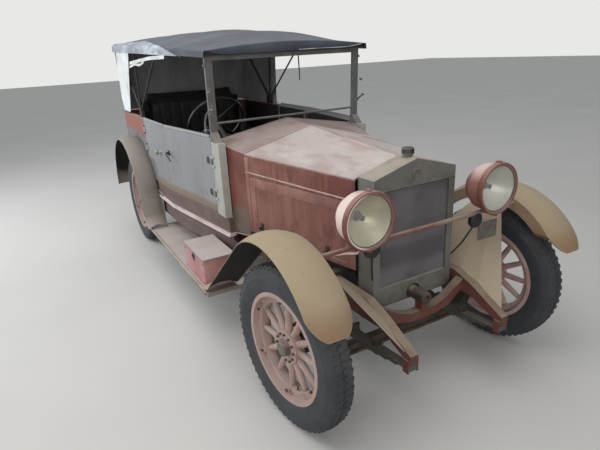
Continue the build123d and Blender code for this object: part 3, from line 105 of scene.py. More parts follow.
def put(tree: Tree, kind: str, inputs: dict | None = None, **props: object) -> bpy.types.Node:
    """Adds a node to a tree.

    Args:
        tree: The tree that takes the node.
        kind: The node's type name.
        inputs: Values or sockets for the node's inputs, by name or number.
        **props: The node's own settings.

    Returns:
        The new node.
    """
    node = tree.nodes.new(kind)
    for name, value in props.items():
        setattr(node, name, value)
    for key, value in (inputs or {}).items():
        connect(tree, value, node.inputs[key])
    return node


def connect(tree: Tree, value: object, socket: Socket) -> None:
    """Links a socket to an input, or sets the input's plain value."""
    if isinstance(value, Socket):
        tree.links.new(value, socket)
    else:
        socket.default_value = value


def maths(tree: Tree, operation: str, *values: Value, clamp: bool = False) -> Socket:
    """The result of a Math node on one to three values."""
    return put(tree, "ShaderNodeMath", dict(enumerate(values)), operation=operation,
               use_clamp=clamp).outputs[0]


def vectors(tree: Tree, operation: str, first: Value, second: Value) -> Socket:
    """The vector that a Vector Math node makes of two vectors."""
    return put(tree, "ShaderNodeVectorMath", {0: first, 1: second},
               operation=operation).outputs[0]


def ramp(tree: Tree, value: Value, low: Value, high: Value) -> Socket:
    """The smooth share of a value's way from low to high, held between 0 and 1."""
    return put(tree, "ShaderNodeMapRange", {"Value": value, "From Min": low, "From Max": high},
               interpolation_type="SMOOTHSTEP").outputs["Result"]


def blend_colours(tree: Tree, share: Value, first: Value, second: Value) -> Socket:
    """A mix of two colours."""
    return put(tree, "ShaderNodeMix", {0: share, 6: first, 7: second},
               data_type="RGBA").outputs[2]


def blend_numbers(tree: Tree, share: Value, first: Value, second: Value) -> Socket:
    """A mix of two numbers."""
    return put(tree, "ShaderNodeMix", {0: share, 2: first, 3: second},
               data_type="FLOAT").outputs[0]


class Kind(Enum):
    """The socket types of the node groups."""

    NUMBER = "NodeSocketFloat"
    COUNT = "NodeSocketInt"
    COLOUR = "NodeSocketColor"
    POINT = "NodeSocketVector"
    FINISH = "NodeSocketMaterial"
    SHAPE = "NodeSocketGeometry"


def new_group(name: str, kind: str, inputs: dict[str, tuple[Kind, object]],
              outputs: dict[str, Kind]) -> tuple[Tree, Sockets, bpy.types.Node]:
    """Starts a node group with named sockets.

    Args:
        name: The group's name.
        kind: ShaderNodeTree or GeometryNodeTree.
        inputs: Each input's type and its starting value.
        outputs: Each output's type.

    Returns:
        The tree, its input sockets by name, and its output node.
    """
    tree = bpy.data.node_groups.new(name, kind)
    for title, (socket_kind, value) in inputs.items():
        socket = tree.interface.new_socket(title, in_out="INPUT", socket_type=socket_kind.value)
        if value is not None:
            socket.default_value = value
    for title, socket_kind in outputs.items():
        tree.interface.new_socket(title, in_out="OUTPUT", socket_type=socket_kind.value)
    entry = put(tree, "NodeGroupInput")
    return tree, {socket.name: socket for socket in entry.outputs}, put(tree, "NodeGroupOutput")


# Shader effects that several finishes share

EFFECTS: dict[str, Tree] = {}
GREY = (0.5, 0.5, 0.5, 1.0)


def numbers(**values: float) -> dict[str, tuple[Kind, float]]:
    """Number inputs for a node group, each with its starting value."""
    return {name: (Kind.NUMBER, value) for name, value in values.items()}


def effect(name: str, inputs: dict[str, tuple[Kind, object]],
           build: Callable[[Tree, Sockets], Socket]) -> None:
    """Makes a shader group that lays a tint over a colour where its mask says.

    Args:
        name: The effect's name.
        inputs: The inputs beyond Colour, Tint and Amount.
        build: Makes the mask's socket from the tree and its inputs.
    """
    over = {"Colour": (Kind.COLOUR, GREY), "Tint": (Kind.COLOUR, GREY)} | numbers(Amount=1.0)
    tree, sockets, end = new_group(name, "ShaderNodeTree", over | inputs,
                                   {"Colour": Kind.COLOUR, "Mask": Kind.NUMBER})
    mask = maths(tree, "MULTIPLY", build(tree, sockets), sockets["Amount"], clamp=True)
    tree.links.new(blend_colours(tree, mask, sockets["Colour"], sockets["Tint"]), end.inputs[0])
    tree.links.new(mask, end.inputs[1])
    EFFECTS[name] = tree


def object_point(tree: Tree) -> Socket:
    """The Object coordinate's socket."""
    return put(tree, "ShaderNodeTexCoord").outputs["Object"]


def cloud(tree: Tree, point: Value, scale: Value, detail: float = 5.0) -> Socket:
    """A soft noise over a point, about 0.3 to 0.7."""
    return put(tree, "ShaderNodeTexNoise", {"Vector": point, "Scale": scale, "Detail": detail,
                                            "Roughness": 0.6}).outputs["Fac"]


def make_effects() -> None:
    """Builds the shared shader groups once."""
    def patches(tree: Tree, ins: Sockets) -> Socket:
        """Where a stretched noise passes a level."""
        stretched = vectors(tree, "MULTIPLY", object_point(tree), ins["Stretch"])
        moved = vectors(tree, "ADD", stretched, ins["Shift"])
        low = maths(tree, "SUBTRACT", ins["Level"], ins["Soft"])
        high = maths(tree, "ADD", ins["Level"], ins["Soft"])
        return ramp(tree, cloud(tree, moved, ins["Scale"]), low, high)

    def dust_or_shade_mask(tree: Tree, ins: Sockets) -> Socket:
        """Where the surface faces up enough for dust, or down for painted shade when Low and High
        are below zero, with grain.
        """
        normal = put(tree, "ShaderNodeNewGeometry").outputs["Normal"]
        rise = put(tree, "ShaderNodeSeparateXYZ", {0: normal}).outputs["Z"]
        facing_share = ramp(tree, rise, ins["Low"], ins["High"])
        grain = ramp(tree, cloud(tree, object_point(tree), ins["Scale"]), 0.3, 0.56)
        return maths(tree, "MULTIPLY", facing_share, maths(tree, "MULTIPLY_ADD", grain, 0.45, 0.55))

    def zone(tree: Tree, ins: Sockets) -> Socket:
        """From one place to another, with a frayed border."""
        fray = maths(tree, "SUBTRACT", cloud(tree, object_point(tree), ins["Scale"]), 0.5)
        place = maths(tree, "MULTIPLY_ADD", fray, ins["Fray"], ins["Place"])
        return ramp(tree, place, ins["Start"], ins["End"])

    def edges(tree: Tree, ins: Sockets) -> Socket:
        """Where the surface bends, rubbed here and there."""
        normal = put(tree, "ShaderNodeNewGeometry").outputs["Normal"]
        rounded = put(tree, "ShaderNodeBevel", {"Radius": ins["Radius"]}, samples=4).outputs[0]
        dot = put(tree, "ShaderNodeVectorMath", {0: normal, 1: rounded},
                  operation="DOT_PRODUCT").outputs["Value"]
        bent = ramp(tree, maths(tree, "SUBTRACT", 1.0, dot), 0.01, 0.12)
        rubbed = ramp(tree, cloud(tree, object_point(tree), ins["Scale"]), 0.38, 0.56)
        return maths(tree, "MULTIPLY", bent, rubbed)

    effect("patches", numbers(Scale=8.0, Level=0.5, Soft=0.06)
           | {"Stretch": (Kind.POINT, (1.0, 1.0, 1.0)), "Shift": (Kind.POINT, (0.0, 0.0, 0.0))},
           patches)
    effect("settled dust", numbers(Low=0.2, High=0.9, Scale=6.0), dust_or_shade_mask)
    effect("zone", numbers(Place=0.0, Start=0.0, End=1.0, Fray=0.0, Scale=5.0), zone)
    effect("edge wear", numbers(Radius=0.006, Scale=20.0), edges)
    make_weave()
    make_grain()


def make_weave() -> None:
    """Builds the cloth's weave, from the piece's own flat coordinates in metres."""
    tree, ins, end = new_group("weave", "ShaderNodeTree", numbers(Threads=500.0),
                               {"Height": Kind.NUMBER, "Slub": Kind.NUMBER})
    flat = put(tree, "ShaderNodeTexCoord").outputs["UV"]
    part = put(tree, "ShaderNodeSeparateXYZ", {0: flat})
    turn = maths(tree, "MULTIPLY", ins["Threads"], math.pi)
    waves = [maths(tree, "SINE", maths(tree, "MULTIPLY", part.outputs[axis], turn))
             for axis in ("X", "Y")]
    height = maths(tree, "MULTIPLY_ADD", maths(tree, "MULTIPLY", *waves), 0.5, 0.5)
    tree.links.new(height, end.inputs[0])
    long_threads = vectors(tree, "MULTIPLY", flat, (60.0, 3.0, 1.0))
    tree.links.new(ramp(tree, cloud(tree, long_threads, 1.0), 0.35, 0.65), end.inputs[1])
    EFFECTS["weave"] = tree


def make_grain() -> None:
    """Builds a fine grain over soft dents, as the height of a hand-beaten, sanded panel."""
    tree, ins, end = new_group("grain", "ShaderNodeTree",
                               numbers(Fine=220.0, Dents=7.0, Share=0.5), {"Height": Kind.NUMBER})
    point = object_point(tree)
    mixed = blend_numbers(tree, ins["Share"], cloud(tree, point, ins["Fine"], 3.0),
                          cloud(tree, point, ins["Dents"], 1.0))
    tree.links.new(mixed, end.inputs[0])
    EFFECTS["grain"] = tree


# Finishes


class Along(Enum):
    """What a zone is measured along, in the car's frame."""

    SIDE = "X"
    LENGTH = "Y"
    HEIGHT = "Z"
    SPREAD = "spread"


class Board:
    """A material's nodes: the colour, roughness and metal that its layers build up."""

    def __init__(self, name: str, colour: Shade, rough: float, metal: float) -> None:
        """Starts the material with its shader and plain values."""
        self.material = bpy.data.materials.new(name)
        self.material.use_nodes = True
        self.tree = self.material.node_tree
        self.shader = self.tree.nodes["Principled BSDF"]
        self.colour: Socket = put(self.tree, "ShaderNodeRGB").outputs[0]
        self.colour.default_value = shade(*colour)
        self.rough: Value = rough
        self.metal: Value = metal
        self.heights: list[tuple[Socket, float]] = []

    def place(self, along: Along) -> Socket:
        """The socket of a point's coordinate along an axis."""
        point = put(self.tree, "ShaderNodeSeparateXYZ", {0: object_point(self.tree)})
        if along is Along.SPREAD:
            return maths(self.tree, "ABSOLUTE", point.outputs["X"])
        return point.outputs[along.value]

    def group(self, name: str, inputs: dict) -> bpy.types.Node:
        """Adds a shared shader group."""
        return put(self.tree, "ShaderNodeGroup", inputs, node_tree=EFFECTS[name])

    def lay(self, layer: Layer) -> None:
        """Lays one effect over the colour, and its roughness and metal with it.

        Args:
            layer: The layer, whose fields are named as the effect's inputs are.
        """
        values = {field.name.title(): getattr(layer, field.name) for field in fields(layer)}
        values |= {"Colour": self.colour, "Tint": shade(*layer.tint)}
        if "Along" in values:
            values["Place"] = self.place(values["Along"])
        known = {item.name for item in EFFECTS[layer.effect].interface.items_tree}
        node = self.group(layer.effect, {key: values[key] for key in values if key in known})
        self.colour = node.outputs["Colour"]
        mask = node.outputs["Mask"]
        if values.get("Rough") is not None:
            self.rough = blend_numbers(self.tree, mask, self.rough, values["Rough"])
        if values.get("Metal") is not None:
            self.metal = blend_numbers(self.tree, mask, self.metal, values["Metal"])

    def grain(self, fine: float, dents: float, share: float, depth: float) -> None:
        """Adds a panel's grain to the height."""
        node = self.group("grain", {"Fine": fine, "Dents": dents, "Share": share})
        self.heights.append((node.outputs["Height"], depth))

    def finish(self, **uniform: float) -> bpy.types.Material:
        """Links what was built up to the shader, and sets its plain values."""
        for key, value in (("Base Color", self.colour), ("Roughness", self.rough),
                           ("Metallic", self.metal), *uniform.items()):
            connect(self.tree, value, self.shader.inputs[key])
        total = None
        for socket, depth in self.heights:
            scaled = maths(self.tree, "MULTIPLY", socket, depth)
            total = scaled if total is None else maths(self.tree, "ADD", total, scaled)
        bump = put(self.tree, "ShaderNodeBump", {"Height": total, "Distance": 1.0})
        self.tree.links.new(bump.outputs[0], self.shader.inputs["Normal"])
        return self.material


@dataclass(frozen=True)
class Patches:
    """Soft or sharp patches of another tint, stretched into streaks where wanted."""

    effect: ClassVar[str] = "patches"
    tint: Shade
    amount: float = 1.0
    scale: float = 8.0
    level: float = 0.5
    soft: float = 0.06
    stretch: Point = (1.0, 1.0, 1.0)
    shift: Point = (0.0, 0.0, 0.0)
    rough: float | None = None
    metal: float | None = None


@dataclass(frozen=True)
class DustAndShade:
    """Dust that lies where the surface faces up, or painted shade where it faces down."""

    effect: ClassVar[str] = "settled dust"
    tint: Shade
    amount: float = 0.8
    low: float = 0.2
    high: float = 0.9
    scale: float = 6.0
    rough: float = 0.9


@dataclass(frozen=True)
class Zone:
    """Another tint from one place to another along an axis, with a frayed border."""

    effect: ClassVar[str] = "zone"
    tint: Shade
    along: Along
    start: float
    end: float
    amount: float = 1.0
    fray: float = 0.1
    scale: float = 5.0
    rough: float | None = None
    metal: float | None = None


@dataclass(frozen=True)
class Rub:
    """Paint rubbed off along the edges."""

    effect: ClassVar[str] = "edge wear"
    tint: Shade
    amount: float = 0.7
    radius: float = 0.006
    scale: float = 20.0


Layer = Patches | DustAndShade | Zone | Rub


@dataclass(frozen=True)
class Coat:
    """What a piece is dressed in: a base colour under a name."""

    name: str
    base: Shade

    def material(self) -> bpy.types.Material:
        """Builds the material, or returns the one built before."""
        return bpy.data.materials.get(self.name) or self.built()

    def built(self) -> bpy.types.Material:
        """Builds the material."""
        raise NotImplementedError


@dataclass(frozen=True)
class Finish(Coat):
    """A painted, bare or rusted surface, with layers over its base.

    Attributes:
        fine: The scale of its grain.
        dents: The scale of the soft dents under the grain.
        share: The dents' part of the height.
        depth: The whole height, in metres.
    """

    rough: float = 0.7
    metal: float = 0.0
    layers: tuple[Layer, ...] = ()
    fine: float = 220.0
    dents: float = 7.0
    share: float = 0.6
    depth: float = 0.0012

    def built(self) -> bpy.types.Material:
        """Builds the material."""
        board = Board(self.name, self.base, self.rough, self.metal)
        for layer in self.layers:
            board.lay(layer)
        board.grain(self.fine, self.dents, self.share, self.depth)
        return board.finish()


@dataclass(frozen=True)
class Cloth(Coat):
    """A woven cloth: threads in its height, slubs and layers in its colour."""

    slub: Shade
    layers: tuple[Layer, ...] = ()
    threads: float = 420.0
    rough: float = 0.85
    depth: float = 0.0004
    sheen: float = 0.15

    def built(self) -> bpy.types.Material:
        """Builds the material."""
        board = Board(self.name, self.base, self.rough, 0.0)
        weave = board.group("weave", {"Threads": self.threads})
        board.colour = blend_colours(board.tree, weave.outputs["Slub"], board.colour,
                                     shade(*self.slub))
        for layer in self.layers:
            board.lay(layer)
        board.heights.append((weave.outputs["Height"], self.depth))
        board.grain(60.0, 9.0, 0.7, 0.003)
        return board.finish(**{"Sheen Weight": self.sheen, "Sheen Roughness": 0.5})


@dataclass(frozen=True)
class Glass(Coat):
    """Dusty lamp glass."""

    rough: float = 0.12

    def built(self) -> bpy.types.Material:
        """Builds the material."""
        board = Board(self.name, self.base, self.rough, 0.0)
        board.lay(Patches((226, 226, 220), 0.35, 9.0, 0.52, 0.12, shift=(3.0, 1.0, 2.0), rough=0.3))
        board.grain(90.0, 12.0, 0.4, 0.0004)
        return board.finish(**{"Transmission Weight": 0.9, "IOR": 1.45})


DUST = (186, 174, 160)
# Near black for faces that look down: painted shade under fenders, boards and chassis
UNDERSIDE_SHADE = (24, 22, 21)
PINK_DUST = (182, 158, 150)

PAINT_RED = Finish("worn red paint", (110, 58, 50), 0.72, 0.0, (
    Patches((132, 86, 76), 0.8, 4.0, 0.5, 0.14),
    Patches((148, 110, 98), 0.5, 5.0, 0.52, 0.1, (2.5, 2.5, 0.35), (4.0, 0.0, 0.0)),
    Patches((84, 44, 40), 0.5, 14.0, 0.6, 0.05, (1.0, 1.0, 0.5), (9.0, 2.0, 0.0)),
    Zone((104, 86, 74), Along.HEIGHT, 0.75, 0.65, 0.6, 0.12),
    DustAndShade(DUST, 0.92, 0.25, 0.62, 4.0), Rub((160, 136, 128), 0.5)))

FRAME_RED = Finish("rubbed panel frame", (134, 90, 82), 0.74, 0.0, (
    Patches((152, 112, 102), 0.8, 4.0, 0.5, 0.14),
    Patches((112, 70, 62), 0.5, 8.0, 0.56, 0.1, (2.5, 2.5, 0.35)),
    DustAndShade(DUST, 0.9, 0.25, 0.7, 4.0), Rub((170, 138, 128), 0.6, 0.004)))

SCUTTLE = Finish("scuttle paint", (112, 60, 52), 0.74, 0.0, (
    Patches((132, 84, 74), 0.8, 4.0, 0.5, 0.14),
    Patches((92, 46, 40), 0.5, 9.0, 0.58, 0.08, (1.0, 1.0, 0.5)),
    Zone((100, 92, 80), Along.HEIGHT, 0.80, 0.74, 0.8, 0.06, 6.0),
    DustAndShade((166, 152, 148), 0.92, 0.25, 0.62, 4.0), Rub((160, 136, 128), 0.4)))

BONNET_TOP = Finish("dusty bonnet paint", (168, 152, 147), 0.85, 0.0, (
    Patches((158, 138, 133), 0.7, 4.0, 0.5, 0.14),
    Zone((146, 104, 96), Along.SPREAD, 0.28, 0.42, 0.45, 0.16, 4.0),
    DustAndShade((186, 178, 174), 0.85, 0.3, 0.85, 3.0),
    Patches((150, 118, 110), 0.45, 7.0, 0.56, 0.1, (1.0, 0.4, 1.0)),
    Patches((196, 187, 181), 0.5, 11.0, 0.6, 0.06, (1.0, 0.6, 1.0), (5.0, 5.0, 5.0)),
    Rub((196, 182, 174), 0.4)))

NICKEL = Finish("dull plate", (108, 108, 103), 0.5, 0.35, (
    Patches((118, 116, 110), 0.7, 6.0, 0.48, 0.12, rough=0.7, metal=0.1),
    Patches((78, 80, 75), 0.5, 12.0, 0.58, 0.08, rough=0.6),
    DustAndShade(DUST, 0.7, 0.3, 0.9), Rub((156, 153, 146), 0.6)), depth=0.0006)

CORE = Finish("honeycomb core", (122, 118, 121), 0.8, 0.1, (
    Patches((138, 134, 136), 0.7, 2.4, 0.5, 0.14),
    Zone((92, 90, 92), Along.HEIGHT, 0.78, 0.74, 0.6, 0.05, 3.0),
    Zone((136, 134, 137), Along.HEIGHT, 0.68, 0.62, 0.85, 0.05, 3.0),
    Patches((84, 82, 86), 0.5, 3.0, 0.56, 0.1, shift=(3.0, 0.0, 0.0)),
    Patches((112, 108, 102), 0.35, 16.0, 0.62, 0.05)), fine=150.0, share=0.2, depth=0.003)

LAMP_PAINT = Finish("dusty lamp paint", (146, 100, 92), 0.68, 0.0, (
    Patches((144, 98, 90), 0.7, 9.0, 0.5, 0.14),
    Patches((96, 58, 52), 0.4, 16.0, 0.6, 0.08),
    # Painted light: the near lamp's outer side and its stay turn pale
    Zone((228, 208, 200), Along.SIDE, -0.38, -0.43, 0.95, 0.04, 5.0),
    DustAndShade((214, 192, 184), 0.85, 0.25, 0.9, 7.0), Rub((166, 136, 122), 0.5, 0.003)))

LAMP_RIM = Finish("lamp rim paint", (108, 62, 54), 0.66, 0.0, (
    Patches((130, 86, 76), 0.6, 12.0, 0.5, 0.12),
    DustAndShade((168, 142, 132), 0.6, 0.2, 0.9, 9.0), Rub((156, 126, 112), 0.4, 0.003)))

LAMP_BAR = Finish("lamp bar paint", (112, 70, 64), 0.68, 0.0, (
    Patches((128, 92, 84), 0.6, 9.0, 0.5, 0.12, (3.0, 1.0, 1.0)),
    Zone((132, 120, 108), Along.SIDE, 0.02, 0.10, 0.9, 0.03, 8.0),
    DustAndShade((160, 140, 130), 0.7, 0.3, 0.9, 9.0)))

FENDER = Finish("dusty fender paint", (148, 131, 106), 0.82, 0.0, (
    Patches((136, 112, 90), 0.6, 3.0, 0.5, 0.14),
    Patches((158, 139, 116), 0.5, 9.0, 0.54, 0.1, shift=(2.0, 7.0, 0.0)),
    Zone((124, 86, 58), Along.HEIGHT, 0.79, 0.70, 0.85, 0.06, 4.0),
    Zone((148, 131, 106), Along.LENGTH, -1.73, -1.63, 0.9, 0.05),
    # The apron between the fenders turns paler and pinker: partly its own tone, partly painted
    # light where it stands in shade
    Zone((176, 160, 146), Along.SPREAD, 0.586, 0.580, 0.9, 0.003),
    DustAndShade((166, 152, 126), 0.7, 0.1, 0.95, 3.0),
    Patches((104, 82, 64), 0.3, 22.0, 0.68, 0.04),
    # Painted shade on the faces that look down, then rubbed edges
    DustAndShade(UNDERSIDE_SHADE, 1.8, -0.1, -0.45, 3.0), Rub((176, 160, 138), 0.5)))

REAR_FENDER = Finish("rear fender undercoat", (130, 123, 115), 0.7, 0.0, (
    Patches((106, 92, 84), 0.6, 4.0, 0.5, 0.12),
    Patches((136, 129, 123), 0.5, 8.0, 0.55, 0.1, shift=(2.0, 7.0, 0.0)),
    DustAndShade((154, 147, 140), 0.6, 0.1, 0.95, 4.0),
    Zone((156, 140, 136), Along.HEIGHT, 0.46, 0.36, 0.6, 0.1),
    # Painted shade on the faces that look down, then rubbed edges
    DustAndShade(UNDERSIDE_SHADE, 1.8, -0.1, -0.45, 3.0), Rub((206, 202, 196), 0.9)))

ALUMINIUM = Finish("bare body panel", (136, 137, 139), 0.5, 0.3, (
    Patches((122, 121, 120), 0.5, 2.0, 0.5, 0.2, rough=0.6, metal=0.15),
    Patches((152, 154, 158), 0.45, 3.0, 0.54, 0.16, (1.0, 1.0, 0.35), (6.0, 1.0, 0.0)),
    Patches((104, 98, 93), 0.3, 13.0, 0.62, 0.06, (1.0, 1.0, 0.6), rough=0.7, metal=0.0),
    # Painted light: the panels grow lighter and bluer towards the rear
    Zone((152, 153, 156), Along.LENGTH, 0.36, 0.9, 0.6, 0.1, 2.0),
    Zone((124, 105, 78), Along.HEIGHT, 0.762, 0.735, 0.8, 0.03, 7.0, rough=0.8, metal=0.0),
    Zone((102, 84, 74), Along.HEIGHT, 0.72, 0.69, 0.6, 0.03, 9.0, rough=0.8, metal=0.0),
    DustAndShade(DUST, 0.5, 0.5, 0.95), Rub((206, 210, 214), 0.9, 0.005)), depth=0.0013)

REAR_PRIMER = Finish("rear body primer", (124, 127, 132), 0.5, 0.28, (
    Patches((112, 110, 109), 0.6, 3.0, 0.5, 0.14, rough=0.6, metal=0.1),
    Zone((150, 84, 64), Along.HEIGHT, 0.99, 1.08, 0.85, 0.08, 3.0, rough=0.75, metal=0.0),
    Patches((98, 90, 84), 0.4, 12.0, 0.58, 0.06, (1.0, 1.0, 0.5), rough=0.7, metal=0.0),
    DustAndShade(DUST, 0.6, 0.5, 0.95), Rub((190, 188, 184), 0.7, 0.005)))

PILLAR = Finish("pale pillar undercoat", (166, 166, 160), 0.75, 0.0, (
    Patches((150, 144, 136), 0.5, 6.0, 0.52, 0.14, (1.0, 1.0, 0.4)),
    Patches((178, 178, 172), 0.4, 10.0, 0.56, 0.1), Rub((196, 196, 190), 0.5)))

SILL = Finish("sill primer", (104, 84, 82), 0.75, 0.0, (
    Patches((92, 72, 69), 0.6, 5.0, 0.5, 0.12),
    # A painted highlight: a pale band along the valance's ridge, ended below by a tone close to the
    # sill's own
    Zone((210, 196, 194), Along.HEIGHT, 0.590, 0.578, 0.9, 0.004),
    Zone((98, 82, 80), Along.HEIGHT, 0.560, 0.552, 1.0, 0.004),
    Patches((124, 106, 102), 0.4, 12.0, 0.56, 0.08, (1.0, 0.4, 1.0)),
    DustAndShade(PINK_DUST, 0.9, 0.4, 0.9), Rub((180, 162, 158), 0.6, 0.006)))

BOARD_TOP = Finish("dusty board", (146, 134, 128), 0.85, 0.05, (
    Patches((130, 112, 106), 0.5, 5.0, 0.5, 0.14),
    DustAndShade((186, 176, 172), 0.9, 0.3, 0.9, 2.0),
    Patches((168, 152, 147), 0.4, 5.0, 0.56, 0.1, (1.0, 0.5, 1.0)),
    # Painted shade on the faces that look down, then rubbed edges
    DustAndShade(UNDERSIDE_SHADE, 1.2, -0.2, -0.6), Rub((182, 174, 164), 0.4)))

TOOLBOX = Finish("toolbox paint", (172, 118, 118), 0.75, 0.0, (
    Patches((190, 148, 150), 0.7, 6.0, 0.5, 0.14),
    Patches((136, 86, 82), 0.5, 12.0, 0.58, 0.08),
    DustAndShade(DUST, 0.9, 0.3, 0.8), Rub((160, 128, 122), 0.5, 0.004)))

WHEEL_PAINT = Finish("dusty wheel paint", (170, 134, 128), 0.75, 0.0, (
    Patches((172, 150, 142), 0.8, 7.0, 0.5, 0.14),
    Patches((112, 80, 74), 0.5, 12.0, 0.58, 0.08),
    Patches((186, 172, 164), 0.5, 7.0, 0.56, 0.12, shift=(3.0, 3.0, 3.0)),
    Zone((172, 150, 142), Along.SPREAD, 0.672, 0.700, 0.6, 0.02, 9.0),
    DustAndShade((170, 154, 148), 0.7, 0.2, 0.9), Rub((160, 138, 130), 0.5, 0.003)))

RUBBER = Finish("perished rubber", (48, 52, 57), 0.82, 0.0, (
    Patches((64, 68, 74), 0.6, 5.0, 0.5, 0.2),
    Patches((92, 88, 82), 0.35, 4.0, 0.58, 0.16, shift=(4.0, 1.0, 0.0)),
    Patches((40, 41, 44), 0.4, 18.0, 0.58, 0.1),
    DustAndShade((96, 92, 86), 0.35, 0.0, 0.9), Rub((88, 85, 81), 0.4, 0.003)),
    fine=260.0, share=0.3, depth=0.0006)

SCREEN = Finish("worn screen metal", (104, 104, 103), 0.5, 0.35, (
    Patches((86, 80, 76), 0.6, 10.0, 0.52, 0.1, (1.0, 1.0, 0.3), rough=0.7, metal=0.0),
    Patches((130, 131, 130), 0.4, 16.0, 0.56, 0.08),
    DustAndShade(DUST, 0.5, 0.4, 0.9), Rub((176, 176, 172), 0.6, 0.003)))

CHASSIS = Finish("red chassis paint", (96, 54, 46), 0.8, 0.0, (
    Patches((60, 44, 40), 0.7, 6.0, 0.5, 0.1),
    Patches((112, 78, 68), 0.5, 12.0, 0.56, 0.1),
    # Dust on the faces that look up, painted shade on those that look down
    DustAndShade((142, 128, 110), 0.95, 0.3, 0.8), DustAndShade(UNDERSIDE_SHADE, 1.2, -0.3, -0.8)))

IRON = Finish("oily iron", (58, 54, 50), 0.6, 0.5, (
    Patches((84, 74, 64), 0.7, 9.0, 0.5, 0.1, rough=0.8, metal=0.1),
    Patches((104, 70, 52), 0.4, 16.0, 0.58, 0.06, rough=0.9, metal=0.0),
    DustAndShade((120, 108, 94), 0.7, 0.3, 0.9)))

SPRING = Finish("spring leaves", (92, 94, 94), 0.6, 0.5, (
    Patches((72, 66, 60), 0.7, 12.0, 0.5, 0.1, rough=0.85, metal=0.1),
    DustAndShade((134, 122, 108), 0.7, 0.3, 0.9)))

BLACK_IRON = Finish("black ironwork", (34, 34, 36), 0.45, 0.2, (
    Patches((62, 58, 54), 0.7, 18.0, 0.54, 0.08, rough=0.7),
    DustAndShade((110, 104, 96), 0.6, 0.4, 0.95), Rub((120, 116, 110), 0.6, 0.003)))

WOOD = Finish("dark bow wood", (62, 50, 42), 0.7, 0.0, (
    Patches((40, 33, 29), 0.9, 6.0, 0.5, 0.1, (0.4, 6.0, 6.0)),
    Patches((92, 78, 64), 0.5, 8.0, 0.56, 0.08, (0.3, 9.0, 9.0), (3.0, 0.0, 0.0))),
    fine=120.0, share=0.3)

EBONITE = Finish("black wheel rim", (22, 22, 24), 0.3, 0.0, (
    Patches((48, 44, 42), 0.7, 12.0, 0.54, 0.1, rough=0.55),
    DustAndShade((96, 92, 86), 0.5, 0.5, 0.95)), depth=0.0004)

LEATHER = Finish("black seat leather", (24, 24, 27), 0.5, 0.0, (
    Patches((40, 38, 38), 0.8, 8.0, 0.5, 0.1, rough=0.62),
    Patches((70, 64, 58), 0.4, 24.0, 0.62, 0.05, rough=0.8),
    DustAndShade((86, 82, 76), 0.5, 0.4, 0.95)), fine=420.0, dents=60.0, share=0.4, depth=0.0012)

STEEL = Finish("bare bright steel", (168, 166, 160), 0.35, 0.85, (
    Patches((112, 104, 94), 0.8, 20.0, 0.52, 0.08, rough=0.6, metal=0.3),
    DustAndShade(DUST, 0.5, 0.4, 0.95)), depth=0.0004)

REFLECTOR = Finish("tarnished reflector", (206, 198, 158), 0.3, 0.5, (
    Patches((170, 160, 116), 0.7, 6.0, 0.5, 0.16, rough=0.45),
    # Painted reflection: the lower part of the reflector turns near white
    Zone((250, 248, 234), Along.HEIGHT, 1.02, 0.94, 0.75, 0.05, 9.0)), depth=0.0002)

SILVERED = Finish("bright reflector", (214, 220, 220), 0.28, 0.5, (
    Patches((176, 184, 186), 0.6, 6.0, 0.5, 0.16, rough=0.45),
    # Painted reflection: the lower part of the reflector turns near white
    Zone((252, 252, 250), Along.HEIGHT, 1.02, 0.95, 0.75, 0.05, 9.0)), depth=0.0002)

CANVAS = Cloth("slate hood cloth", (66, 71, 82), (78, 83, 95), (
    Patches((52, 57, 67), 0.8, 2.2, 0.5, 0.12),
    Patches((88, 92, 102), 0.45, 5.0, 0.56, 0.1, (1.0, 0.5, 1.0), (3.0, 2.0, 0.0)),
    DustAndShade((100, 103, 110), 0.3, 0.6, 0.98, 3.0)))

CURTAIN = Cloth("charcoal curtain cloth", (58, 58, 62), (66, 66, 70), (
    Patches((44, 44, 48), 0.7, 3.0, 0.5, 0.12, (2.0, 2.0, 0.5)),
    Patches((84, 82, 80), 0.35, 6.0, 0.6, 0.08)))

DARK_CLOTH = Cloth("dark hood lining", (36, 37, 42), (46, 46, 50), (
    Patches((58, 56, 56), 0.6, 4.0, 0.52, 0.1),))

PALE_LINING = Cloth("grey curtain lining", (164, 164, 168), (176, 176, 180), (
    Patches((138, 137, 140), 0.6, 3.0, 0.5, 0.16, (2.0, 2.0, 0.5)),
    Patches((186, 185, 186), 0.35, 6.0, 0.6, 0.1)))

# Pale grey with near-white streaks: the bared backing, with painted light on the roof's right side
LIT_BACKING = Cloth("bleached canvas backing", (150, 156, 166), (166, 172, 182), (
    Patches((116, 121, 132), 0.8, 9.0, 0.5, 0.12, (1.0, 0.5, 1.0)),
    Patches((206, 212, 222), 0.7, 6.0, 0.55, 0.06, (1.0, 0.4, 1.0), (2.0, 5.0, 1.0))))

# Near white cloth: painted light on the curtain's right side and on the torn strips
LIT_WHITE_CLOTH = Cloth("bleached lining cloth", (222, 226, 228), (206, 208, 208), (
    Patches((180, 178, 172), 0.6, 7.0, 0.54, 0.1),))

LINING = Finish("black door lining", (34, 32, 32), 0.85, 0.0, (
    Patches((50, 47, 45), 0.6, 8.0, 0.5, 0.12),
    Patches((24, 22, 22), 0.6, 18.0, 0.56, 0.08)), fine=380.0, share=0.3)

DULL_STEEL = Finish("dull grey steel", (122, 116, 108), 0.55, 0.5, (
    Patches((92, 86, 80), 0.8, 24.0, 0.5, 0.08, rough=0.75, metal=0.1),
    DustAndShade(PINK_DUST, 0.6, 0.3, 0.9)), depth=0.0005)

STEEL_EDGE = Finish("board edge metal", (150, 140, 132), 0.5, 0.4, (
    Patches((110, 98, 90), 0.8, 14.0, 0.5, 0.08, (1.0, 0.3, 1.0), rough=0.75, metal=0.1),
    DustAndShade(DUST, 0.6, 0.3, 0.9)), depth=0.0005)

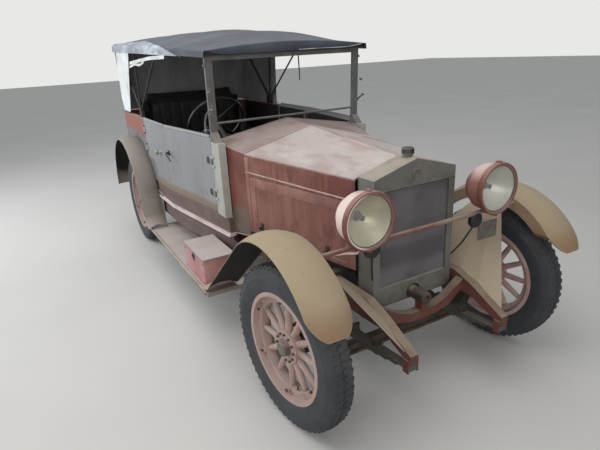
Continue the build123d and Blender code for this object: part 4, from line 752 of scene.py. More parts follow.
PINK_METAL = Finish("rubbed pink strip", (160, 130, 122), 0.6, 0.1, (
    Patches((134, 96, 88), 0.8, 14.0, 0.5, 0.08),
    DustAndShade((190, 176, 168), 0.8, 0.3, 0.9)), depth=0.0005)

PALE_DUST = Finish("pale rubbed edge", (190, 180, 174), 0.8, 0.0, (
    Patches((160, 134, 128), 0.7, 9.0, 0.5, 0.12, (1.0, 0.5, 1.0)),), depth=0.0004)

# A painted highlight, laid as a thin pale tube along the far half of the hood's front edge
HEADER_HIGHLIGHT = Finish("pale hood edging", (186, 192, 198), 0.8, 0.0, (
    Patches((120, 124, 130), 0.8, 9.0, 0.52, 0.08),), depth=0.0005)

FLOOR = Finish("pale floor", (206, 204, 200), 0.9, 0.0, (
    Patches((196, 194, 190), 0.5, 0.8, 0.5, 0.2),), dents=1.0, depth=0.0)

LAMP_GLASS = Glass("dusty lamp glass", (248, 247, 240), 0.06)


# Meshes


def shown(name: str, data: bpy.types.ID, place: Matrix | None = None) -> Piece:
    """Puts data in the scene as a named object, at a place where one is given."""
    thing = bpy.data.objects.new(name, data)
    if place is not None:
        thing.matrix_world = place
    bpy.context.scene.collection.objects.link(thing)
    return thing


class Forge:
    """Collects simple solid shapes in one mesh, in the car's own frame."""

    def __init__(self) -> None:
        """Starts an empty mesh."""
        self.bm = bmesh.new()

    def walls(self, rings: Sequence[Sequence[bmesh.types.BMVert]], steps: int) -> None:
        """Joins each ring of points to the next; a ring of one point is a pole."""
        for first, second in zip(rings, rings[1:]):
            for index in range(steps):
                after = (index + 1) % steps
                corners = [first[index % len(first)], first[after % len(first)],
                           second[after % len(second)], second[index % len(second)]]
                unique = list(dict.fromkeys(corners))
                if len(unique) > 2:
                    self.bm.faces.new(unique)

    def turned(self, profile: Sequence[Pair], place: Matrix, steps: int = 32) -> Forge:
        """Turns a profile of (along, radius) about the local Z axis.

        Args:
            profile: The points of the profile; a radius of 0 closes to a pole.
            place: The local frame in the car.
            steps: The number of faces round the axis.

        Returns:
            The forge itself.
        """
        rings = []
        for along, radius in profile:
            angles = [math.tau * index / steps for index in range(steps if radius else 1)]
            rings.append([self.bm.verts.new(place @ Vector(
                (radius * math.cos(angle), radius * math.sin(angle), along)))
                for angle in angles])
        self.walls(rings, steps)
        return self

    def block(self, low: Sequence[float], high: Sequence[float],
              place: Matrix = Matrix.Identity(4), soften: float = 0.0) -> Forge:
        """A block between two corners, with softened edges where wanted."""
        made = bmesh.ops.create_cube(self.bm, size=1.0)["verts"]
        size = Vector([abs(last - first) for first, last in zip(low, high)])
        middle = (Vector(high) + Vector(low)) / 2
        shape = place @ Matrix.Translation(middle) @ Matrix.Diagonal((*size, 1.0))
        bmesh.ops.transform(self.bm, matrix=shape, verts=made)
        if soften:
            edges = list(dict.fromkeys(edge for vert in made for edge in vert.link_edges))
            bmesh.ops.bevel(self.bm, geom=edges, offset=soften, segments=2, affect="EDGES")
        return self

    def tube(self, points: Sequence[Vector], radius: float | Sequence[float], steps: int = 10,
             flat: float = 1.0) -> Forge:
        """A round or flattened tube along points, closed at both ends."""
        sizes = [radius] * len(points) if isinstance(radius, float) else radius
        befores, afters = [points[0], *points[:-1]], [*points[1:], points[-1]]
        rings = []
        side = (afters[0] - points[0]).normalized().orthogonal().normalized()
        for spot, before, after, size in zip(points, befores, afters, sizes):
            run = (after - before).normalized()
            side = (side - run * side.dot(run)).normalized()
            up = run.cross(side)
            angles = [math.tau * step / steps for step in range(steps)]
            rings.append([self.bm.verts.new(
                spot + (side * math.cos(angle) * flat + up * math.sin(angle)) * size)
                for angle in angles])
        self.walls(rings, steps)
        self.bm.faces.new(rings[0][::-1])
        self.bm.faces.new(rings[-1])
        return self

    def grid(self, rows: Sequence[Sequence[Vector]]) -> Forge:
        """A sheet through rows of points."""
        verts = [[self.bm.verts.new(point) for point in line] for line in rows]
        for first, second in zip(verts, verts[1:]):
            for quad in zip(first, first[1:], second[1:], second):
                self.bm.faces.new(quad)
        return self

    def mesh(self, mesh: bpy.types.Mesh, place: Matrix = Matrix.Identity(4)) -> Forge:
        """Adds a mesh, moved to a place."""
        before = len(self.bm.verts)
        self.bm.from_mesh(mesh)
        self.bm.verts.ensure_lookup_table()
        bmesh.ops.transform(self.bm, matrix=place, verts=self.bm.verts[before:])
        return self

    def made(self, name: str, finish: Coat, slot: str, body: str = "root", closed: bool = True,
             crease: float = 35.0) -> Piece:
        """Turns what was collected into a piece on a body.

        Args:
            name: The piece's name.
            finish: What it is dressed in.
            slot: The record's material slot; it is not used.
            body: The CAD body that it rides on.
            closed: Whether the shapes are closed, so that their normals are set outwards.
            crease: The angle in degrees past which an edge shades sharp.

        Returns:
            The new object.
        """
        bmesh.ops.remove_doubles(self.bm, verts=self.bm.verts[:], dist=1e-6)
        if closed:
            bmesh.ops.recalc_face_normals(self.bm, faces=self.bm.faces[:])
        data = bpy.data.meshes.new(name)
        self.bm.to_mesh(data)
        self.bm.free()
        data.materials.append(finish.material())
        data.shade_smooth()
        data.set_sharp_from_angle(angle=math.radians(crease))
        piece = shown(name, data)
        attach(piece, body)
        LOG.info("%s rides on %s, %d faces", name, body, len(data.polygons))
        return piece


# Geometry node trees


class Part(Enum):
    """The shapes that a pattern repeats."""

    BOLT = "bolt"
    BLOCK = "block"


class Path(Enum):
    """The lines that a pattern follows."""

    RING = "ring"
    ROW = "row"


def pattern_tree(path: Path, part: Part) -> Tree:
    """A tree that repeats a part on a ring about Z or on a straight row.

    Args:
        path: The line that the parts follow.
        part: The repeated shape.

    Returns:
        The tree, with named inputs for its sizes.
    """
    name = f"{path.value} of {part.value}s"
    known = bpy.data.node_groups.get(name)
    if known:
        return known
    tree, ins, end = new_group(name, "GeometryNodeTree", {
        "Count": (Kind.COUNT, 6), "Radius": (Kind.NUMBER, 0.06), "Size": (Kind.POINT, (1, 1, 1)),
        "First": (Kind.POINT, (0, 0, 0)), "Last": (Kind.POINT, (1, 0, 0)),
        "Turn": (Kind.POINT, (0, 0, 0)), "Finish": (Kind.FINISH, None)}, {"Mesh": Kind.SHAPE})
    if part is Part.BOLT:
        shape = put(tree, "GeometryNodeMeshCylinder",
                    {"Vertices": 6, "Radius": 0.5, "Depth": 1.0}).outputs["Mesh"]
    else:
        shape = put(tree, "GeometryNodeMeshCube", {"Size": (1.0, 1.0, 1.0)}).outputs["Mesh"]
    shape = put(tree, "GeometryNodeTransform", {"Geometry": shape, "Scale": ins["Size"]}).outputs[0]
    if path is Path.RING:
        shape = put(tree, "GeometryNodeTransform",
                    {"Geometry": shape, "Rotation": ins["Turn"]}).outputs[0]
        line = put(tree, "GeometryNodeMeshCircle",
                   {"Vertices": ins["Count"], "Radius": ins["Radius"]}).outputs[0]
        index = put(tree, "GeometryNodeInputIndex").outputs[0]
        step = maths(tree, "DIVIDE", math.tau, ins["Count"])
        spin = put(tree, "ShaderNodeCombineXYZ",
                   {"Z": maths(tree, "MULTIPLY", index, step)}).outputs[0]
    else:
        share = maths(tree, "DIVIDE", 1.0, maths(tree, "SUBTRACT", ins["Count"], 1.0))
        run = vectors(tree, "SUBTRACT", ins["Last"], ins["First"])
        gap = put(tree, "ShaderNodeVectorMath", {0: run, "Scale": share},
                  operation="SCALE").outputs[0]
        line = put(tree, "GeometryNodeMeshLine", {
            "Count": ins["Count"], "Start Location": ins["First"], "Offset": gap},
            mode="OFFSET").outputs[0]
        spin = ins["Turn"]
    turned = put(tree, "FunctionNodeEulerToRotation", {0: spin}).outputs[0]
    many = put(tree, "GeometryNodeInstanceOnPoints",
               {"Points": line, "Instance": shape, "Rotation": turned})
    real = put(tree, "GeometryNodeRealizeInstances", {"Geometry": many.outputs[0]})
    dressed = put(tree, "GeometryNodeSetMaterial",
                  {"Geometry": real.outputs[0], "Material": ins["Finish"]})
    tree.links.new(dressed.outputs[0], end.inputs[0])
    return tree


def plain_mesh(thing: Piece) -> bpy.types.Mesh:
    """The plain mesh that an object's modifiers make."""
    graph = bpy.context.evaluated_depsgraph_get()
    return bpy.data.meshes.new_from_object(thing.evaluated_get(graph), depsgraph=graph)


def grown(tree: Tree, **values: object) -> bpy.types.Mesh:
    """Runs a geometry node tree with named inputs and returns its plain mesh."""
    host = shown("host", bpy.data.meshes.new("host"))
    change = host.modifiers.new("pattern", "NODES")
    change.node_group = tree
    for item in tree.interface.items_tree:
        if item.in_out == "INPUT" and item.name in values:
            change[item.identifier] = values[item.name]
    result = plain_mesh(host)
    bpy.data.objects.remove(host)
    return result


def ring(part: Part, count: int, radius: float, size: Point, finish: Coat,
         turn: Point = (0.0, 0.0, 0.0)) -> bpy.types.Mesh:
    """A ring of parts about Z, each turned first."""
    return grown(pattern_tree(Path.RING, part), Count=count, Radius=radius, Size=size, Turn=turn,
                 Finish=finish.material())


def row(part: Part, count: int, first: Vector, last: Vector, size: Point,
        finish: Coat) -> bpy.types.Mesh:
    """A straight row of parts."""
    return grown(pattern_tree(Path.ROW, part), Count=count, First=tuple(first), Last=tuple(last),
                 Size=size, Finish=finish.material())


# The car

UP, BACK, AHEAD = (0, 0, 1), (0, 1, 0), (0, -1, 0)
RIVET = ((0.0, 0.006), (0.002, 0.0045), (0.003, 0.0))


@dataclass(frozen=True)
class Layout:
    """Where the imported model's main places are, in metres."""

    front_axle: float
    wheelbase: float
    wheel_x: float
    axle_z: float
    kingpin_x: float = 0.5805
    rest_steer: float = math.radians(6)
    spare: Point = (0.0, 3.5575, 0.722)

    @classmethod
    def read(cls) -> Layout:
        """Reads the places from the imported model."""
        low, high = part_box("rear_tyre_left")
        beam_low, beam_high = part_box("front_axle_beam")
        rear = (low[1] + high[1]) / 2
        front = (beam_low[1] + beam_high[1]) / 2
        return cls(front, rear - front, (low[0] + high[0]) / 2, (low[2] + high[2]) / 2)

    def at(self, x: float, place: float, z: float) -> Vector:
        """The point at a distance behind the front axle."""
        return Vector((x, self.front_axle + place, z))


def facing(spot: Sequence[float], towards: Point, up: Point = UP) -> Matrix:
    """A local frame at a spot whose Z axis points towards a direction."""
    aim = Vector(towards).normalized()
    side = Vector(up).cross(aim).normalized()
    turn = Matrix((side, aim.cross(side), aim)).transposed().to_4x4()
    return Matrix.Translation(spot) @ turn


def along_z(length: float) -> Matrix:
    """A move along the local Z axis."""
    return Matrix.Translation((0, 0, length))


@dataclass(frozen=True)
class Assembly:
    """A sub-assembly, with the car's layout."""

    layout: Layout

    def at(self, x: float, place: float, z: float) -> Vector:
        """The point at a distance behind the front axle."""
        return self.layout.at(x, place, z)

    def outward(self, side: int, x: float, place: float, z: float) -> Matrix:
        """A local frame on one side whose Z axis points out of the car."""
        return facing(self.at(side * x, place, z), (side, 0, 0))


@dataclass(frozen=True)
class Hub:
    """One wheel's body and its frame: the local Z axis points out of the car."""

    name: str
    body: str
    frame: Matrix


def hubs(layout: Layout) -> list[Hub]:
    """The five wheels, each with the frame of its hub."""
    outward = Matrix.Rotation(math.pi / 2, 4, "Y")
    found = []
    for side, title in SIDES:
        turned = Matrix.Rotation(0 if side > 0 else math.pi, 4, "Z")
        rear = Matrix.Translation(layout.at(side * layout.wheel_x, layout.wheelbase,
                                            layout.axle_z))
        pin = Matrix.Translation(layout.at(side * layout.kingpin_x, 0, layout.axle_z))
        arm = Matrix.Translation((side * (layout.wheel_x - layout.kingpin_x), 0, 0))
        front = pin @ Matrix.Rotation(layout.rest_steer, 4, "Z") @ arm
        found.append(Hub(f"front_{title}", f"front_wheel_{title}", front @ turned @ outward))
        found.append(Hub(f"rear_{title}", f"rear_wheel_{title}", rear @ turned @ outward))
    spare = Matrix.Translation(layout.at(*layout.spare)) @ Matrix.Rotation(math.pi / 2, 4, "Z")
    found.append(Hub("spare", "root", spare @ outward))
    return found


@dataclass(frozen=True)
class Wheels(Assembly):
    """The five tyres with their tread, and the wheels' bolts, lugs and caps.

    Attributes:
        section: Half of the tyre's outline, from bead to crown, as (across, radius).
        centre_blocks: How many small blocks run round the middle of the tread.
        side_blocks: How many lugs run round each side of the tread.
        lugs: How many rim lugs hold the rim to the felloe.
        lug_radius: How far the lugs and their bolts are from the wheel's middle.
    """

    section: tuple[Pair, ...] = (
        (0.0457, 0.2535), (0.0462, 0.262), (0.049, 0.272), (0.0508, 0.2755), (0.052, 0.281),
        (0.0558, 0.293), (0.0595, 0.307), (0.062, 0.322), (0.0622, 0.333), (0.0632, 0.337),
        (0.0627, 0.341), (0.0605, 0.345), (0.0583, 0.356), (0.0548, 0.367), (0.0517, 0.374),
        (0.047, 0.3795), (0.043, 0.3835), (0.032, 0.3868), (0.018, 0.3878), (0.0135, 0.389),
        (0.012, 0.3884), (0.0, 0.3888))
    centre_blocks: int = 78
    side_blocks: int = 60
    lugs: int = 6
    lug_radius: float = 0.2305

    def build(self) -> None:
        """Makes every tyre and the trim on its wheel."""
        for hub in hubs(self.layout):
            self.tyre(hub)
            self.trim(hub)

    def tyre(self, hub: Hub) -> None:
        """A worn tyre: a turned carcass under rows of tread blocks."""
        profile = [*self.section, *((-across, radius) for across, radius in self.section[-2::-1])]
        forge = Forge().turned([*profile, profile[0]], hub.frame, 112)
        forge.mesh(ring(Part.BLOCK, self.centre_blocks, 0.3908, (0.0085, 0.0165, 0.017), RUBBER),
                   hub.frame)
        half_step = Matrix.Rotation(math.pi / self.side_blocks, 4, "Z")
        for side, _ in SIDES:
            for radius, size, tilt, across in ((0.3858, (0.0085, 0.0190, 0.022), 0.12, 0.029),
                                               (0.3742, (0.0075, 0.0150, 0.014), 1.05, 0.0470)):
                lugs = ring(Part.BLOCK, self.side_blocks, radius, size, RUBBER,
                            (0.0, side * tilt, 0.0))
                forge.mesh(lugs, hub.frame @ along_z(side * across) @ half_step)
        tyre = forge.made(f"worn_tyre_{hub.name}", RUBBER, "tyre_rubber", hub.body, crease=40)
        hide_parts("spare_tyre" if hub.name == "spare" else hub.name.replace("_", "_tyre_"))

    def trim(self, hub: Hub) -> None:
        """The rim's lugs and bolts, the flange's bolts, the valve and the cap."""
        slot = "wheel_paint"
        forge = Forge()
        for radius, size in ((self.lug_radius, (0.030, 0.022, 0.011)),
                             (0.2440, (0.009, 0.044, 0.009))):
            forge.mesh(ring(Part.BLOCK, self.lugs, radius, size, WHEEL_PAINT),
                       hub.frame @ along_z(0.0285))
        forge.turned([(0.0205, 0.2150), (0.0235, 0.2165), (0.0235, 0.2235), (0.0205, 0.2250)],
                     hub.frame, 72)
        forge.turned([(0.0235, 0.082), (0.0265, 0.0805), (0.0265, 0.044), (0.0235, 0.042)],
                     hub.frame, 48)
        forge.made(f"wheel_lugs_{hub.name}", WHEEL_PAINT, slot, hub.body)
        bolts = Forge()
        for count, radius, wide, lift in ((self.lugs, self.lug_radius, 0.015, 0.038),
                                          (12, 0.0655, 0.0125, 0.030)):
            bolts.mesh(ring(Part.BOLT, count, radius, (wide, wide, 0.010), IRON),
                       hub.frame @ along_z(lift))
        valve = [hub.frame @ Vector((x, 0.06, 0.012)) for x in (0.212, 0.190, 0.180)]
        bolts.tube(valve, (0.004, 0.004, 0.0052), 8)
        bolts.made(f"wheel_bolts_{hub.name}", IRON, slot, hub.body)
        cap = Forge().turned([(0.026, 0.037), (0.034, 0.0365), (0.035, 0.034), (0.0505, 0.0325),
                              (0.0535, 0.029), (0.0555, 0.02), (0.0562, 0.0)], hub.frame, 40)
        cap.mesh(ring(Part.BLOCK, 8, 0.0335, (0.004, 0.011, 0.012), DULL_STEEL),
                 hub.frame @ along_z(0.0432))
        cap.made(f"hub_cap_{hub.name}", DULL_STEEL, slot, hub.body)


@dataclass(frozen=True)
class Hood(Assembly):
    """The cloth hood: roof, linings, rear curtain, torn corner with its strips, and bindings.

    Attributes:
        rows: Each bow's place, half width, edge height, crown and hem height.
        steps: How many rows of faces the roof has from front to rear.
        levels: How many rows of faces a hanging sheet has.
        sag: How far the cloth dips in the middle of a bay.
        valance_half: Half the width of the fold over the header.
        valance_hem: That fold's lowest heights at the right and the left.
        curtain_foot: The height of the curtain's foot.
        corner: The radius of the hood's rear corners in plan.
        flap: The right flap's front edge, foot and top, as (place, height).
        far_flap: The left flap's front edge.
        tear: The torn edge's start, peak and end, as (place, width of bare backing).
    """

    rows: tuple[tuple[float, float, float, float, float], ...] = (
        (1.070, 0.568, 1.680, 0.034, 1.645), (1.500, 0.591, 1.708, 0.086, 1.662),
        (2.050, 0.621, 1.728, 0.104, 1.682), (2.650, 0.650, 1.754, 0.092, 1.704),
        (3.250, 0.650, 1.782, 0.068, 1.722), (3.462, 0.650, 1.780, 0.054, 1.728))
    front: float = 1.070
    rear: float = 3.462
    rear_half: float = 0.650
    steps: int = 110
    levels: int = 30
    sag: float = 0.007
    valance_half: float = 0.552
    valance_hem: Pair = (1.653, 1.663)
    curtain_foot: float = 1.183
    corner: float = 0.100
    flap: tuple[Pair, Pair] = ((3.085, 1.180), (2.740, 1.707))
    far_flap: tuple[Pair, Pair] = ((2.610, 1.180), (2.570, 1.707))
    tear: tuple[Pair, Pair, Pair] = ((1.50, 0.004), (2.62, 0.190), (3.40, 0.100))

    def bay(self, place: float) -> tuple[tuple[float, ...], tuple[float, ...], float]:
        """The bows before and behind a place, and its share of the way between them."""
        for first, second in zip(self.rows, self.rows[1:]):
            if place <= second[0]:
                break
        return first, second, (place - first[0]) / (second[0] - first[0])

    def row(self, place: float) -> tuple[float, ...]:
        """The half width, edge height, crown and hem height at a place."""
        first, second, share = self.bay(place)
        return tuple(between(a, b, share) for a, b in zip(first[1:], second[1:]))

    def height(self, x: float, place: float) -> float:
        """The roof's height over a point, without sag."""
        half, edge, crown, _ = self.row(place)
        radius = (half ** 2 + crown ** 2) / (2 * crown)
        return edge + math.sqrt(radius ** 2 - x ** 2) - (radius - crown)

    def slack(self, x: float, place: float) -> float:
        """How far the cloth sags and creases at a point, downwards."""
        (first, *_), (second, *_), share = self.bay(place)
        if not first <= place <= second:
            return 0.0
        bend = math.sin(math.pi * share)
        dip = self.sag * ((second - first) / 0.6) * bend ** 2
        crease = abs(noise.noise(Vector((x * 2.2 + place * 1.4, place * 5.0, 3.0))))
        fine = noise.noise(Vector((x * 9.0 - place * 6.0, place * 14.0, 1.0)))
        return dip + 0.006 * crease * bend + 0.0012 * (fine + 0.6)

    def section(self, place: float, inset: float = 0.0) -> list[Vector]:
        """The roof's cross section at a place, hem to hem."""
        half, edge, _, hem = self.row(place)
        near = half - 0.016
        steps = 22
        arc = [(x, self.height(x, place) - self.slack(x, place))
               for x in (near * index / steps for index in range(steps + 1))]
        shift = arc[-1][1] - self.height(near, place)
        wave = 0.003 * (noise.noise(Vector((place * 6.0, 0.0, 8.0))) + 0.7)
        arc += [(half - 0.0085, edge + 0.0015 + shift * 0.7), (half - 0.003, edge - 0.0055),
                (half - 0.0008, edge - 0.014), (half - 0.0005 - wave / 2, edge - 0.022),
                (half - wave, hem + 0.009), (half + 0.002 - wave, hem + 0.005),
                (half + 0.002 - wave, hem + 0.001), (half - 0.002 - wave, hem - 0.001),
                (half - 0.010, hem + 0.001), (half - 0.012, hem + 0.010)]
        if inset:
            arc = [(max(x - inset, 0.0) if x > near else x, z - inset) for x, z in arc[:-4]]
        return ([self.at(-x, place, z) for x, z in arc[:0:-1]]
                + [self.at(x, place, z) for x, z in arc])

    def build(self) -> None:
        """Makes the hood's pieces."""
        slot = "hood_cloth"
        places = [self.front + (self.rear - self.front) * index / self.steps
                  for index in range(self.steps + 1)]
        roof = Forge().grid(self.front_fold() + [self.section(place) for place in places])
        cover = roof.made("hood_roof", CANVAS, slot, closed=False, crease=60)
        flat_coordinates(cover, (0, 1))
        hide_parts("hood_canvas")
        lining = Forge().grid([self.section(place, 0.004) for place in places[::-1][1::2]])
        inside = lining.made("hood_lining", DARK_CLOTH, slot, closed=False, crease=60)
        flat_coordinates(inside, (0, 1))
        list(self.strips())
        self.torn_patch()
        self.front_edging()
        curtain = self.hanging(-1.0, 1.0, 0.004, "hood_curtain", CURTAIN)
        backing = self.hanging(-0.98, 1.0, 0.009, "curtain_lining", PALE_LINING)
        # The curtain's right side and rear corner covered in near white: painted light on the cloth
        quarter = self.hanging(-1.0, -0.58, 0.0005, "quarter_lining", LIT_WHITE_CLOTH)
        self.binding()

    def front_fold(self) -> list[list[Vector]]:
        """The rows of cloth that fold down over the front of the header."""
        right, left = self.valance_hem
        folded = []
        for drop, ahead in ((1.0, 0.003), (0.96, -0.001), (0.5, -0.004), (0.12, -0.003)):
            line = []
            for point in self.section(self.front):
                across = point.x / self.valance_half
                hem = between(right, left, (across + 1) / 2)
                hem += 0.004 * noise.noise(Vector((point.x * 4.0, 0.0, 6.0)))
                fall = max(point.z - hem, 0.0) * drop * max(0.0, 1.0 - abs(across) ** 10)
                line.append(point + Vector((0.0, ahead, -fall)))
            folded.append(line)
        return folded

    def outline(self, share: float, z: float, inset: float = 0.004) -> Pair:
        """A point on the curtain's plan: from the right flap round the rear to the left one.

        Args:
            share: From -1 at the right flap's edge to 1 at the left one's.
            z: The height, which moves the flap's slanted edge.
            inset: How far inside the hood's sides the curtain hangs.

        Returns:
            The point's x and its place.
        """
        (foot, low), (top, high) = self.flap if share < 0 else self.far_flap
        start = between(foot, top, min(max((z - low) / (high - low), 0.0), 1.0))
        half = self.rear_half - inset
        back = self.rear - inset
        straight = half - self.corner
        bend = self.corner * math.pi / 2
        along = abs(share) * (straight + bend + back - self.corner - start)
        sign = 1 if share >= 0 else -1
        if along <= straight:
            return sign * along, back
        if along <= straight + bend:
            angle = (along - straight) / self.corner
            return (sign * (straight + self.corner * math.sin(angle)),
                    back - self.corner + self.corner * math.cos(angle))
        return sign * half, back - self.corner - (along - straight - bend)

    def hanging(self, first: float, last: float, inset: float, name: str,
                finish: Cloth) -> Piece:
        """A hanging sheet in soft vertical folds, under the hood's rear edge.

        Args:
            first: Where it starts along the curtain's outline, from -1.
            last: Where it ends, up to 1.
            inset: How far inside the hood's sides it hangs.
            name: The piece's name.
            finish: Its cloth.

        Returns:
            The piece.
        """
        columns = max(24, int(66 * (last - first)))
        rows = [[self.fold(between(first, last, column / columns), level / self.levels, inset)
                 for column in range(columns + 1)] for level in range(self.levels + 1)]
        faced = rows if finish is PALE_LINING else rows[::-1]
        piece = Forge().grid(faced).made(name, finish, "hood_cloth", closed=False, crease=60)
        flat_coordinates(piece, (0, 2))
        return piece

    def fold(self, share: float, rise: float, inset: float) -> Vector:
        """A point of a hanging sheet.

        Args:
            share: Its place along the curtain's outline.
            rise: Its share of the height.
            inset: How far inside the hood's sides the sheet hangs.

        Returns:
            The point.
        """
        x, place = self.outline(share, self.curtain_foot, inset)
        top = min(self.height(x, place), self.row(place)[1] + 0.2) - 0.012
        z = between(self.curtain_foot, top, rise)
        x, place = self.outline(share, z, inset)
        depth = 0.012 * (1.0 - 0.75 * rise)
        wave = math.sin(share * 43 + 1.2 * math.sin(z * 5)) * 0.5 + 0.5
        drift = noise.noise(Vector((share * 6, z * 3, 2.0))) * 0.5 + 0.6
        towards = Vector((x, place - self.rear + 0.6)).normalized() * depth * wave * drift
        return self.at(x - towards.x, place - towards.y, z)

    def binding(self) -> Piece:
        """The bound foot of the curtain, along the body."""
        spots = [self.at(*self.outline(-1 + column / 30, self.curtain_foot),
                         self.curtain_foot + 0.006) for column in range(61)]
        return Forge().tube(spots, 0.006, 8).made("curtain_binding", DARK_CLOTH, "hood_cloth")

    def strips(self) -> list[Piece]:
        """Strips of lining at the torn right rear corner, near white with painted light."""
        made = []
        runs = {
            "torn_strip_upper": ((1.75, 1.672), (2.10, 1.668), (2.42, 1.652), (2.70, 1.636)),
            "torn_strip_lower": ((2.26, 1.640), (2.40, 1.618), (2.55, 1.626), (2.74, 1.600)),
        }
        for number, (name, run) in enumerate(runs.items()):
            wide = 0.036 - 0.008 * number
            rows = []
            for index in range(24, -1, -1):
                place, z = along_line(run, index / 24)
                curl = 0.004 * math.sin(index * 0.9 + number)
                half = self.row(place)[0] + 0.0025
                rows.append([self.at(-(half + curl * step), place + wide * step * 0.6,
                                     z - wide * step * 0.7) for step in (0, 1 / 3, 2 / 3, 1)])
            made.append(Forge().grid(rows).made(name, LIT_WHITE_CLOTH, "hood_cloth", closed=False))
        return made

    def front_edging(self) -> Piece:
        """A pale tube along the far half of the front fold: a painted highlight on the header's
        front edge.
        """
        spots = [point + Vector((0, -0.003, 0.001)) for point in self.front_fold()[1]
                 if 0.05 < point.x < 0.53]
        return Forge().tube(spots, 0.0024, 6).made("hood_front_edging", HEADER_HIGHLIGHT, "hood_cloth")

    def torn_patch(self) -> Piece:
        """The bare backing that shows where the canvas is torn off at the right rear edge, pale
        partly with painted light.
        """
        rows = []
        start, peak, end = self.tear
        for index in range(49):
            place = between(start[0], end[0], index / 48)
            first, second = (start, peak) if place <= peak[0] else (peak, end)
            upper = between(first[1], second[1], (place - first[0]) / (second[0] - first[0]))
            upper -= 0.006 * abs(noise.noise(Vector((place * 9.0, 0.0, 4.0))))
            half, edge, _, hem = self.row(place)
            path = [(half + 0.0030, hem - 0.002), (half + 0.0035, hem + 0.006),
                    (half + 0.0035, edge - 0.020), (half + 0.003, edge - 0.006),
                    (half - 0.004, edge + 0.0010)]
            path += [(x, self.height(x, place) + 0.0035)
                     for x in (half - 0.012 - 0.015 * step for step in range(11))]
            rows.append([self.at(-x, place, z)
                         for x, z in (walked(path, upper * step / 14) for step in range(15))])
        return Forge().grid(rows).made("torn_backing", LIT_BACKING, "hood_cloth", closed=False,
                                       crease=60)


def walked(path: Sequence[Pair], length: float) -> Pair:
    """The point a given length along a line of points."""
    for first, second in zip(path, path[1:]):
        step = math.dist(first, second)
        if length <= step:
            return (between(first[0], second[0], length / step),
                    between(first[1], second[1], length / step))
        length -= step
    return path[-1]


def along_line(points: Sequence[Pair], share: float) -> Pair:
    """The point at a share of the way along a line of points."""
    total = share * (len(points) - 1)
    index = min(int(total), len(points) - 2)
    first, second = points[index], points[index + 1]
    return (between(first[0], second[0], total - index),
            between(first[1], second[1], total - index))


def flat_coordinates(piece: Piece, axes: tuple[int, int]) -> None:
    """Gives a piece flat coordinates in metres, along two of the car's axes."""
    layer = piece.data.uv_layers.new(name="flat")
    for loop in piece.data.loops:
        spot = piece.data.vertices[loop.vertex_index].co
        layer.data[loop.index].uv = (spot[axes[0]], spot[axes[1]])


@dataclass(frozen=True)
class Cushion:
    """One stuffed cushion or back, as the block it fills, with pleats."""

    name: str
    node: str
    low: Point
    high: Point
    soften: float = 0.05
    upright: bool = False


@dataclass(frozen=True)
class Seats(Assembly):
    """The front and rear seats, each a cushion and a back in black leather."""

    cushions: tuple[Cushion, ...] = (
        Cushion("front_cushion", "front_seat", (-0.530, 1.484, 0.640), (0.530, 1.970, 0.866)),
        Cushion("front_back", "front_seat", (-0.530, 1.978, 0.640), (0.530, 2.098, 1.116),
                upright=True),
        Cushion("rear_cushion", "rear_seat", (-0.552, 2.574, 0.676), (0.552, 3.126, 0.876)),
        Cushion("rear_back", "rear_seat", (-0.552, 3.152, 0.676), (0.552, 3.370, 1.364),
                soften=0.085, upright=True))
    room: float = 0.014
    cell: float = 0.022
    frames: int = 20
    pressure: float = 4.0
    reach: float = 0.024
    pleats: int = 11
    pleat_depth: float = 0.010

    def build(self) -> None:
        """Makes the seats; each pair of pieces stands for one CAD seat."""
        for cushion in self.cushions:
            piece = self.stuffed(cushion)
            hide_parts(cushion.node)
        Forge().block(self.at(-0.530, 1.484, 0.600), self.at(0.530, 2.096, 0.645), soften=0.004
                      ).made("front_seat_base", LINING, "seat_leather")

    def stuffed(self, cushion: Cushion) -> Piece:
        """A block filled by pressure, and then pleated."""
        inset = Vector((self.room, self.room, self.room))
        low = self.at(*cushion.low) + inset
        high = self.at(*cushion.high) - inset
        forge = Forge().block(low, high, soften=cushion.soften)
        piece = forge.made(cushion.name, LEATHER, "seat_leather", crease=80)
        remesh = piece.modifiers.new("even", "REMESH")
        remesh.mode = "VOXEL"
        remesh.voxel_size = self.cell
        settle(piece)
        self.inflate(piece)
        finer = piece.modifiers.new("finer", "SUBSURF")
        finer.levels = finer.render_levels = 1
        settle(piece)
        self.pleat(piece, cushion.upright, low, high)
        piece.data.shade_smooth()
        return piece

    def inflate(self, piece: Piece) -> None:
        """Fills the block by pressure, each point moving a little at most."""
        rest = [vertex.co.copy() for vertex in piece.data.vertices]
        cloth = piece.modifiers.new("cloth", "CLOTH")
        cloth.settings.use_pressure = True
        cloth.settings.uniform_pressure_force = self.pressure
        cloth.settings.effector_weights.gravity = 0.0
        cloth.point_cache.frame_start = 1
        cloth.point_cache.frame_end = self.frames
        scene = bpy.context.scene
        for number in range(1, self.frames + 1):
            scene.frame_set(number)
        settle(piece)
        scene.frame_set(1)
        for vertex, start in zip(piece.data.vertices, rest):
            move = vertex.co - start
            if move.length > self.reach:
                vertex.co = start + move * (self.reach / move.length)

    def pleat(self, piece: Piece, upright: bool, low: Vector, high: Vector) -> None:
        """Presses rounded pleats into the face that is sat on, and wear into it."""
        width = (high.x - low.x) / self.pleats
        normals = [vertex.normal.copy() for vertex in piece.data.vertices]
        for vertex, normal in zip(piece.data.vertices, normals):
            seen = abs(normal.y) if upright else max(normal.z, abs(normal.y) * 0.6)
            share = ((vertex.co.x - low.x) / width) % 1.0
            groove = abs(share * 2 - 1) ** 5
            worn = noise.noise(vertex.co * 3.2) * 0.007
            vertex.co -= normal * (self.pleat_depth * groove * max(seen, 0.0) + max(worn, -0.003))


